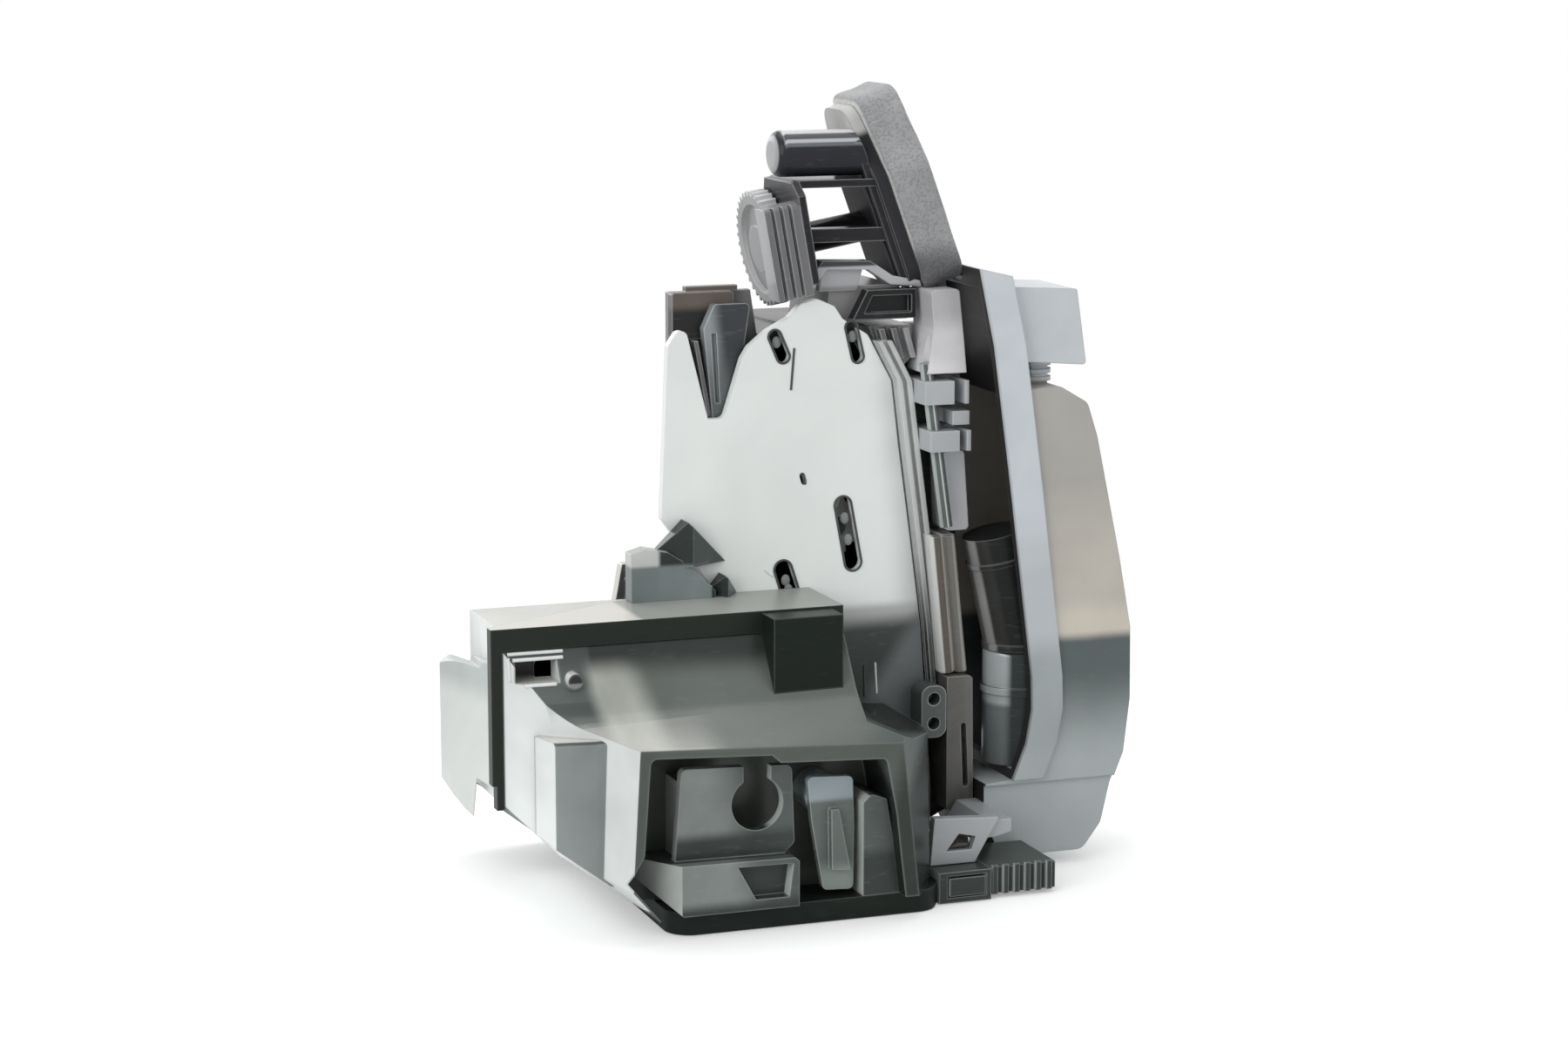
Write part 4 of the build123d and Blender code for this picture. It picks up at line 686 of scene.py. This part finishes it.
# Guide pin: the pale stripes along it and its pale inboard end are painted highlights.
across_pin = (-0.34, 0, 0.94)
straight = ((1, 0, 0), 0.0345, 0.0352, 0.0)
pin_gloss = moulding(
    "pin_gloss", (0.030, 0.031, 0.037), 0.18, scuff_and_edge_highlight=(0.60, 0.62, 0.64), edge=0.3, mottle=0.15, gloss=0.15,
    sides=(
        (across_pin, 0.28, 0.36, (0.16, 0.17, 0.19), straight),
        (across_pin, 0.44, 0.50, (0.50, 0.52, 0.54), straight),
        (across_pin, 0.58, 0.64, (0.06, 0.06, 0.07), straight),
        (across_pin, 0.78, 0.86, (0.62, 0.63, 0.64), straight),
        (across_pin, 0.93, 0.98, (0.20, 0.21, 0.22), straight),
        ((-1, 0, 0), 0.75, 0.90, (0.40, 0.41, 0.42), None),
    ),
)
dress(pin_gloss, "guide_pin")
# Ridged disc cover: its faces turned inboard are painted paler, as light.
disc_grey = moulding(
    "disc_grey", (0.17, 0.172, 0.180), 0.24, scuff_and_edge_highlight=(0.75, 0.76, 0.77), edge=0.9, mottle=0.3, radius=0.00022,
    sides=(((-1, 0, 0), 0.70, 0.90, (0.38, 0.39, 0.40), None),),
)
dress(disc_grey, "disc_cover")
disc_pale = moulding(
    "disc_pale", (0.60, 0.605, 0.61), 0.30, scuff_and_edge_highlight=(0.80, 0.81, 0.82), edge=0.8, radius=0.0003,
    fades=(((1, 0, 0), 0.0390, 0.0400, (0.028, 0.029, 0.033), 0.0),),
    sides=(((-1, 0, -0.176), 0.90, 0.98, (0.30, 0.305, 0.31), None),),
)
dress(disc_pale, "key_coupling")


# Top of the case: the raised housing under the coupling shaft and the block with the
# upper bore of the rod, pale grey mouldings that snap onto the case.

case_pale = moulding(
    "case_pale", (0.30, 0.295, 0.30), 0.26, scuff_and_edge_highlight=(0.70, 0.71, 0.73), edge=0.6, mottle=0.2,
    fades=(
        ((0, 0, 1), 0.1010, 0.1022, (0.50, 0.51, 0.53), 0.0),
        ((0, 0, 1), 0.1060, 0.1066, (0.055, 0.057, 0.065), 0.0),
    ),
)
dress(case_pale, "top_housing")
head_pale = moulding(
    "head_pale", (0.50, 0.495, 0.51), 0.28, scuff_and_edge_highlight=(0.82, 0.83, 0.84), edge=0.4, mottle=0.2,
    fades=(((0, 0, -1), -0.0960, -0.0900, (0.72, 0.715, 0.73), 0.003),),
)
dress(head_pale, "channel_head")


# Clips, panel and snap bracket: paler mouldings along the outboard column. The clips snap
# over the steel rod that comes down from the outside handle.

clip_pale = moulding("clip_pale", (0.42, 0.44, 0.455), 0.28, scuff_and_edge_highlight=(0.85, 0.87, 0.87), edge=0.6, mottle=0.15)
dress(clip_pale, "rod_clips", "snap_bracket")
panel_pale = moulding("panel_pale", (0.62, 0.635, 0.67), 0.28, scuff_and_edge_highlight=(0.85, 0.87, 0.87), edge=0.5, mottle=0.15)
dress(panel_pale, "side_panel")
# Rod: the pale stripes down its length are painted highlights.
rod_green = moulding(
    "rod_green", (0.10, 0.12, 0.115), 0.22, scuff_and_edge_highlight=(0.70, 0.73, 0.72), edge=0.2, mottle=0.15,
    sides=(
        ((-1, 0, 0), -0.20, -0.05, (0.58, 0.62, 0.60), None),
        ((-1, 0, 0), 0.05, 0.20, (0.11, 0.13, 0.125), None),
        ((-1, 0, 0), 0.62, 0.78, (0.42, 0.46, 0.44), None),
    ),
)
dress(rod_green, "link_rod")


# Side tub: the outboard cover in mineral filled plastic, dull grey with a fine grain, with
# a paler rim along its mouth. The dark band low on its side, the cream and brown bands
# halfway up and the pale band at the top are a painted reflection of the studio, and its
# inner wall is painted dark as shade; its rear faces keep the plain grey. The rim is painted
# paler at the top and darker lower down, as light and shade.

tub_grey = moulding(
    "tub_grey", (0.42, 0.460, 0.465), 0.46, scuff_and_edge_highlight=(0.52, 0.54, 0.54), mottle=0.10, bump=0.00004, grain=1300.0,
    edge=0.25, scuff=0.05,
    fades=(
        ((0, 0, 1), -0.0120, 0.0120, (0.10, 0.124, 0.124), 0.005),
        ((0, 0, 1), 0.0175, 0.0205, (0.62, 0.575, 0.500), 0.003),
        ((0, 0, 1), 0.0230, 0.0290, (0.52, 0.490, 0.440), 0.004),
        ((0, 0, 1), 0.0300, 0.0600, (0.45, 0.435, 0.40), 0.004),
        ((0, 0, 1), 0.0780, 0.0800, (0.62, 0.655, 0.685), 0.002),
    ),
    sides=(
        ((0, 1, 0), 0.60, 0.90, (0.34, 0.350, 0.350), None),
        ((-1, 0, 0), 0.45, 0.75, (0.030, 0.029, 0.031), ((-1, 0, 0), -0.0980, -0.0930, 0.0)),
    ),
)
dress(tub_grey, "side_tub", "connector_box", "cable_neck")
rim_grey = moulding(
    "rim_grey", (0.63, 0.675, 0.71), 0.44, scuff_and_edge_highlight=(0.66, 0.68, 0.70), bump=0.00003, grain=1300.0, edge=0.3,
    mottle=0.12,
    fades=(
        ((0, 0, -1), -0.0600, -0.0300, (0.50, 0.53, 0.56), 0.004),
        ((0, 0, -1), -0.0220, -0.0120, (0.35, 0.385, 0.39), 0.004),
        ((0, 0, -1), 0.0020, 0.0130, (0.42, 0.455, 0.46), 0.003),
    ),
)
dress(rim_grey, "tub_rim")


# Snap catch: a black nylon hook that stands on the plug block and locks in the window of
# the snap bracket, moulded in one with its springy arm. Its dark barb fills the window and
# stands in for the shade behind it.

def snap_catch_mesh():
    """Arm behind the bracket plate with a wedge shaped barb in the window."""
    arm = [(64.2, -28.6), (64.2, -22.4), (69.2, -22.4), (69.2, -28.6)]
    barb_back = [(63.7, -25.2), (66.5, -21.9), (70.1, -22.8), (69.3, -25.2)]
    barb_front = [(64.4, -25.1), (66.6, -24.3), (69.3, -24.5), (69.1, -25.1)]
    mesh = bmesh.new()
    for low, low_y, high, high_y in ((arm, -73.4, arm, -75.2), (barb_back, -74.6, barb_front, -77.0)):
        rear = [mesh.verts.new((x * mm, low_y * mm, z * mm)) for x, z in low]
        front = [mesh.verts.new((x * mm, high_y * mm, z * mm)) for x, z in high]
        mesh.faces.new(rear)
        mesh.faces.new(list(reversed(front)))
        for i in range(4):
            j = (i + 1) % 4
            mesh.faces.new((rear[j], rear[i], front[i], front[j]))
    bmesh.ops.recalc_face_normals(mesh, faces=mesh.faces)
    bmesh.ops.bevel(mesh, geom=mesh.edges[:], offset=0.00012, segments=2, affect="EDGES")
    return kept_mesh("snap_catch", mesh)


catch_window_shade = moulding(
    "catch_window_shade", (0.060, 0.055, 0.052), 0.30, scuff_and_edge_highlight=(0.35, 0.35, 0.35), edge=0.4, radius=0.0002)
snap_catch = placed("snap_catch", snap_catch_mesh(), catch_window_shade)
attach(snap_catch, "housing")


# Plug pins: two rows of tinned brass blades in the plug housing, pressed into its floor
# from behind, with tips that are coined to a point.

def pin_tree():
    """Rows of square blades with chamfered tips that point to the rear."""
    tree, entry = geometry_tree("pin_rows", [
        ("Columns", "NodeSocketInt"), ("Rows", "NodeSocketInt"), ("Row Width", "NodeSocketFloat"),
        ("Row Spacing", "NodeSocketFloat"), ("Blade", "NodeSocketFloat"), ("Length", "NodeSocketFloat"),
        ("Middle", "NodeSocketVector"), ("Finish", "NodeSocketMaterial")])
    field = add_node(tree, "GeometryNodeMeshGrid", {
        "Size X": entry["Row Width"], "Size Y": entry["Row Spacing"],
        "Vertices X": entry["Columns"], "Vertices Y": entry["Rows"]})
    blade = add_node(tree, "GeometryNodeMeshCylinder", {
        "Vertices": 4, "Radius": entry["Blade"], "Depth": entry["Length"]})
    tip = add_node(tree, "GeometryNodeMeshCone", {
        "Vertices": 4, "Radius Bottom": entry["Blade"],
        "Radius Top": math_node(tree, "MULTIPLY", entry["Blade"], 0.4),
        "Depth": math_node(tree, "MULTIPLY", entry["Blade"], 1.6)})
    lift = add_node(tree, "ShaderNodeCombineXYZ", {"Z": math_node(tree, "MULTIPLY", entry["Length"], 0.5)})
    raised = add_node(tree, "GeometryNodeTransform", {
        "Geometry": tip.outputs["Mesh"], "Translation": lift.outputs[0]})
    both = add_node(tree, "GeometryNodeJoinGeometry", {0: blade.outputs["Mesh"]})
    tree.links.new(raised.outputs[0], both.inputs[0])
    square = add_node(tree, "GeometryNodeTransform", {
        "Geometry": both.outputs[0], "Rotation": (0, 0, math.radians(45))})
    place = add_node(tree, "GeometryNodeInstanceOnPoints", {
        "Points": field.outputs["Mesh"], "Instance": square.outputs[0]})
    turned = add_node(tree, "GeometryNodeTransform", {
        "Geometry": place.outputs[0], "Translation": entry["Middle"],
        "Rotation": (math.radians(-90), math.radians(3.4), 0)})
    finish_tree(tree, entry, turned.outputs[0], smooth=False)
    return tree


plug_middle = (95.1, -52.5, 92.2)
pin_tin = moulding(
    "pin_tin", (0.70, 0.67, 0.58), 0.28, scuff_and_edge_highlight=(0.85, 0.83, 0.78), metallic=1.0, edge=0.3, radius=0.0001)
plug_pins = grow("plug_pins", points_mesh("plug_pins", [plug_middle]), pin_tree(), {
    "Columns": 5, "Rows": 2, "Row Width": 0.0096, "Row Spacing": 0.0050, "Blade": 0.00045, "Length": 0.0090,
    "Middle": [value * mm for value in plug_middle], "Finish": pin_tin,
})
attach(plug_pins, "housing")


# Ear screws: two zinc plated pan head screws with a six lobed recess, cold headed, which
# hold the ear of the tub on the column.

def join_rings(mesh, rings):
    """Faces from each ring of points to the next. A ring of one point closes the end."""
    for first, second in zip(rings, rings[1:]):
        around = max(len(first), len(second))
        for k in range(around):
            j = (k + 1) % around
            spots = [ring[i % len(ring)] for ring, i in ((first, k), (first, j), (second, j), (second, k))]
            mesh.faces.new(list(dict.fromkeys(spots)))


def lobed_head_mesh():
    """Head turned from bar and punched with a six lobed recess, top towards +Z."""
    around = 48
    lobe_depth = 0.20
    turned = [(2.80, 0.02), (2.80, 0.95), (2.62, 1.35), (2.20, 1.66), (1.75, 1.78)]
    punched = [(1.36, 1.79), (1.30, 1.68), (1.28, 0.70)]
    mesh = bmesh.new()
    rings = []
    for radius, height, lobe in [(*row, 0.0) for row in turned] + [(*row, lobe_depth) for row in punched]:
        ring = []
        for k in range(around):
            angle = math.tau * k / around
            reach = (radius + lobe * math.cos(6 * angle)) * mm
            ring.append(mesh.verts.new((reach * math.cos(angle), reach * math.sin(angle), height * mm)))
        rings.append(ring)
    join_rings(mesh, rings)
    mesh.faces.new(rings[-1])
    mesh.faces.new(list(reversed(rings[0])))
    return kept_mesh("lobed_head", mesh)


def head_tree():
    """Screw head on every vertex, turned to face the rear."""
    tree, entry = geometry_tree("screw_heads", [
        ("Head", "NodeSocketObject"), ("Size", "NodeSocketFloat"), ("Finish", "NodeSocketMaterial")])
    source = add_node(tree, "GeometryNodeObjectInfo", {"Object": entry["Head"]})
    place = add_node(tree, "GeometryNodeInstanceOnPoints", {
        "Points": entry["Geometry"], "Instance": source.outputs["Geometry"],
        "Rotation": (math.radians(-90), 0, 0), "Scale": entry["Size"]})
    finish_tree(tree, entry, place.outputs[0], smooth=False)
    return tree


head_height = 1.8
head_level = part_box("ear_screws")[1].y / mm - head_height
screw_head = bpy.data.objects.new("lobed_head", lobed_head_mesh())
screw_zinc = moulding(
    "screw_zinc", (0.62, 0.62, 0.60), 0.26, scuff_and_edge_highlight=(0.85, 0.85, 0.83), metallic=1.0, edge=0.4, radius=0.0002)
dress(screw_zinc, "ear_screws")
ear_places = [(75.5, head_level, 2.0), (75.5, head_level, 66.0)]
ear_heads = grow(
    "ear_heads", points_mesh("ear_heads", ear_places), head_tree(),
    {"Head": screw_head, "Size": 1.002, "Finish": screw_zinc})
bpy.data.objects.remove(screw_head)
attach(ear_heads, "housing")
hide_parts("ear_screws")


# Threads in the three steel collars of the shut face, rolled into the wall of each hole
# for the screws that come through the door.

def thread_tree():
    """Ridge that winds down the wall of a hole, on every vertex, along Y."""
    tree, entry = geometry_tree("rolled_threads", [
        ("Radius", "NodeSocketFloat"), ("Depth", "NodeSocketFloat"), ("Turns", "NodeSocketFloat"),
        ("Ridge", "NodeSocketFloat"), ("Finish", "NodeSocketMaterial")])
    winding = add_node(tree, "GeometryNodeCurveSpiral", {
        "Resolution": 24, "Rotations": entry["Turns"], "Height": entry["Depth"],
        "Start Radius": entry["Radius"], "End Radius": entry["Radius"]})
    profile = add_node(tree, "GeometryNodeCurvePrimitiveCircle", {"Resolution": 4, "Radius": entry["Ridge"]})
    ridge = add_node(tree, "GeometryNodeCurveToMesh", {
        "Curve": winding.outputs[0], "Profile Curve": profile.outputs["Curve"], "Fill Caps": True})
    place = add_node(tree, "GeometryNodeInstanceOnPoints", {
        "Points": entry["Geometry"], "Instance": ridge.outputs[0], "Rotation": (math.radians(90), 0, 0)})
    finish_tree(tree, entry, place.outputs[0])
    return tree


collar_places = [(32.0, -0.4, 50.5), (60.0, -0.4, -21.0), (6.0, -0.4, -24.0)]
thread_steel = moulding(
    "thread_steel", (0.45, 0.45, 0.43), 0.30, scuff_and_edge_highlight=(0.75, 0.75, 0.73), metallic=1.0, edge=0.2, radius=0.0001)
fixing_threads = grow(
    "fixing_threads", points_mesh("fixing_threads", collar_places), thread_tree(),
    {"Radius": 0.00300, "Depth": 0.0080, "Turns": 8.0, "Ridge": 0.00032, "Finish": thread_steel})
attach(fixing_threads, "housing")


# Foam seal: a block of grey open cell foam, die cut with a hole for the key cylinder and
# glued to the flange. Its cut edges are soft and its sides pull in between the faces.

seal_middle = Vector((0.061, -0.037, 0.122))
seal_tilt = math.radians(20)
seal_out = Vector((math.cos(seal_tilt), 0, math.sin(seal_tilt)))
seal_up = Vector((-math.sin(seal_tilt), 0, math.cos(seal_tilt)))
seal_along = Vector((0, 1, 0))
seal_corners = [(-15, -24), (15, -24), (15, 5), (9, 24), (-9, 24), (-15, 5)]
seal_thickness = 10.5
side_pits = 0.10
face_pits = 0.10
face_swell = 0.12
pit_scale = 0.9
swell_scale = 0.16
key_hole = Vector((6.5, -8.2))
key_hole_radius = 6.55
key_hole_drift = Vector((0.0, -1.8))


def rounded_outline(corners, radius, steps):
    """Points and outward directions round a convex outline with rounded corners."""
    ring = []
    count = len(corners)
    for i in range(count):
        before = Vector(corners[i - 1])
        here = Vector(corners[i])
        after = Vector(corners[(i + 1) % count])
        inward = (before - here).normalized() + (after - here).normalized()
        half = (before - here).angle(after - here) / 2
        middle = here + inward.normalized() * (radius / math.sin(half))
        first = (here - before).normalized()
        second = (after - here).normalized()
        from_turn = math.atan2(-first.x, first.y)
        turn = (math.atan2(-second.x, second.y) - from_turn) % math.tau
        for k in range(steps + 1):
            angle = from_turn + turn * k / steps
            away = Vector((math.cos(angle), math.sin(angle)))
            ring.append((middle + away * radius, away))
    return ring


def even_outline(ring, count):
    """The same outline again with its points evenly spaced."""
    places = [point for point, away in ring]
    lengths = [0.0]
    for i in range(len(ring)):
        lengths.append(lengths[-1] + (places[(i + 1) % len(ring)] - places[i]).length)
    made = []
    i = 0
    for k in range(count):
        along = lengths[-1] * k / count
        while lengths[i + 1] < along:
            i += 1
        share = (along - lengths[i]) / max(lengths[i + 1] - lengths[i], 1e-9)
        j = (i + 1) % len(ring)
        away = ring[i][1].lerp(ring[j][1], share).normalized()
        made.append((ring[i][0].lerp(ring[j][0], share), away))
    return made


def seal_mesh():
    """Rings round the seal: over its outer side, across both faces and through its hole."""
    around = even_outline(rounded_outline(seal_corners, radius=4.5, steps=8), count=132)
    side = [(1.7, 0.08), (0.75, 0.35), (0.22, 1.3), (0.45, 3.4), (0.60, 5.3), (0.45, 7.2), (0.22, 9.0),
            (0.65, 9.95), (1.6, 10.3)]
    face = (0.12, 0.30, 0.50, 0.70, 0.88)
    hole = [(0.7, 10.25), (0.15, 9.8), (0.0, 8.8), (-0.12, 5.3), (0.0, 1.6), (0.15, 0.6), (0.7, 0.12)]
    outer_face, glued_face, hole_lip = 10.3, 0.10, 0.7

    def hole_ring(wider, drift):
        """Points round the hole."""
        return [key_hole + (point - key_hole).normalized() * (key_hole_radius + wider) + drift
                for point, away in around]

    def face_ring(share, inset, drift):
        """Points on the way from the outer edge to the hole."""
        return [(point - away * inset).lerp(inner, share)
                for (point, away), inner in zip(around, hole_ring(hole_lip, drift))]

    rings = [([point - away * inset for point, away in around], height, side_pits) for inset, height in side]
    rings += [(face_ring(share, side[-1][0], key_hole_drift), outer_face, 0.0) for share in face]
    rings += [(hole_ring(wider, key_hole_drift * (height / seal_thickness)), height, 0.0)
              for wider, height in hole]
    rings += [(face_ring(share, side[0][0], Vector((0.0, 0.0))), glued_face, 0.0) for share in reversed(face)]
    mesh = bmesh.new()
    rows = []
    for spots, height, pull in rings:
        row = []
        for spot, (point, away) in zip(spots, around):
            pits = noise.noise(Vector((spot.x, spot.y, height)) * pit_scale)
            slow = noise.noise(Vector((spot.x, spot.y, height)) * swell_scale + Vector((9.0, 2.0, 5.0)))
            lift = 0.0 if height < 0.5 else -face_pits * abs(pits) - face_swell * (slow + 0.5)
            spot = spot - away * (pull * abs(pits))
            row.append(mesh.verts.new(
                seal_middle + (seal_along * spot.x + seal_up * spot.y + seal_out * (height + lift)) * mm))
        rows.append(row)
    join_rings(mesh, rows + rows[:1])
    for made_face in mesh.faces:
        made_face.smooth = True
    return kept_mesh("foam_seal", mesh)


foam_grey = bpy.data.materials.new("foam_grey")
foam_grey.use_nodes = True
foam_tree = foam_grey.node_tree
foam_place = add_node(foam_tree, "ShaderNodeTexCoord", {}).outputs["Object"]
foam_cells = add_node(foam_tree, "ShaderNodeTexVoronoi", {"Vector": foam_place, "Scale": 1500.0})
foam_cloud = add_node(foam_tree, "ShaderNodeTexNoise", {"Vector": foam_place, "Scale": 140.0, "Detail": 6.0})
foam_body = mix_colours(foam_tree, foam_cloud.outputs["Fac"], (0.265, 0.272, 0.280), (0.430, 0.436, 0.440))
# The foam is paler on its back face, and darker at its lower end, which is painted shade.
glue_level = seal_middle.dot(seal_out)
foam_back_pale = fade_mask(foam_tree, -seal_out, -glue_level - 0.0004, -glue_level - 0.0001)
foam_body = mix_colours(foam_tree, foam_back_pale, foam_body, (0.66, 0.665, 0.64))
foam_shaded = fade_mask(foam_tree, (0, 0, -1), -0.1130, -0.1060)
foam_body = mix_colours(foam_tree, foam_shaded, foam_body, (0.145, 0.148, 0.155))
foam_pores = map_range(foam_tree, foam_cells.outputs["Distance"], (0.0, 0.55), (0.72, 1.08))
foam_bump = add_node(foam_tree, "ShaderNodeBump", {
    "Distance": 0.00022, "Height": foam_cells.outputs["Distance"]})
feed(foam_tree, foam_tree.nodes["Principled BSDF"], {
    "Base Color": dimmed(foam_tree, foam_body, foam_pores), "Normal": foam_bump.outputs[0],
    "Roughness": 0.95, "Sheen Weight": 0.25, "Specular IOR Level": 0.2,
})
foam_seal = placed("foam_seal", seal_mesh(), foam_grey)
soften = foam_seal.modifiers.new("soften", "SUBSURF")
soften.levels = 1
soften.render_levels = 1
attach(foam_seal, "housing")
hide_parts("foam_gasket")


# Riveted pins of fork and pawl: ground steel bars whose ends are pressed into the shut
# face with a round punch, which leaves a dimple and a turned down rim.

def riveted_pin_mesh(name, x, z):
    """Bar along Y from the shut face to the rear plate, dimpled at both ends."""
    around = 64
    dimple = [(0.0, -0.9), (1.5, -0.75), (2.75, -0.25), (3.1, -0.10), (3.5, -0.02), (4.5, -0.02), (5.0, -0.35)]
    mesh = bmesh.new()
    rings = []
    for reach, level in dimple + [(reach, -pin_length - level) for reach, level in reversed(dimple)]:
        ring = []
        for k in range(around if reach else 1):
            turn = math.tau * k / around
            ring.append(mesh.verts.new((
                (x + reach * math.cos(turn)) * mm, level * mm, (z + reach * math.sin(turn)) * mm)))
        rings.append(ring)
    join_rings(mesh, rings)
    return kept_mesh(name, mesh)


pin_length = 27.0
pin_steel = moulding("pin_steel", (0.66, 0.66, 0.66), 0.22, scuff_and_edge_highlight=(0.85, 0.85, 0.85), metallic=1.0, edge=0.3)
dress(pin_steel, "claw_pin", "pawl_pin", "worm_shaft", "gear_pin", "lock_lever_pin")
for name, node, x, z in (
        ("riveted_claw_pin", "claw_pin", 20.0, 10.5), ("riveted_pawl_pin", "pawl_pin", 56.0, 1.5)):
    riveted = placed(name, riveted_pin_mesh(name, x, z), pin_steel)
    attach(riveted, "housing")
    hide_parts(node)


# Latch mechanism: the shut face, rear plate and pawl are zinc plated steel, the fork has
# a black plastic coat that keeps the striker quiet, and the springs are bright wire.

zinc = moulding(
    "zinc_plate", (0.58, 0.58, 0.54), 0.34, scuff_and_edge_highlight=(0.80, 0.80, 0.78), mottle=0.2, metallic=1.0, edge=0.3)
dress(zinc, "faceplate", "back_plate", "pawl")
spring_steel = moulding("spring_steel", (0.40, 0.40, 0.41), 0.28, metallic=1.0, edge=0.2)
dress(spring_steel, "claw_spring", "pawl_spring")
fork_coat = moulding("fork_coat", (0.055, 0.055, 0.058), 0.42, scuff_and_edge_highlight=(0.30, 0.30, 0.31), edge=0.4)
dress(fork_coat, "claw")
bumper_rubber = moulding("bumper_rubber", (0.030, 0.030, 0.031), 0.75, scuff_and_edge_highlight=(0.10, 0.10, 0.10), edge=0.2)
dress(bumper_rubber, "mouth_bumper")


# Drive in the case and the motor in the tub: deep drawn steel cans coloured dark, paler on
# the sides turned inboard as a painted highlight, and a worm and wheel of white acetal.

motor_can = moulding(
    "motor_can", (0.040, 0.046, 0.046), 0.28, scuff_and_edge_highlight=(0.50, 0.51, 0.51), metallic=0.2, edge=0.3, gloss=0.1,
    sides=(
        ((-1, 0, 0), 0.48, 0.74, (0.22, 0.245, 0.25), None),
        ((-1, 0, 0), 0.48, 0.74, (0.52, 0.56, 0.57), ((0, 0, 1), 0.0015, 0.0030, 0.0)),
    ),
)
dress(motor_can, "deadlock_motor", "lock_motor")
acetal = moulding("white_acetal", (0.74, 0.74, 0.70), 0.40, scuff_and_edge_highlight=(0.88, 0.88, 0.86), edge=0.3)
dress(acetal, "worm", "worm_gear")


def corners(box):
    """Lowest and highest corner of a box as plain lists."""
    return [[round(float(v), 6) for v in corner] for corner in box]
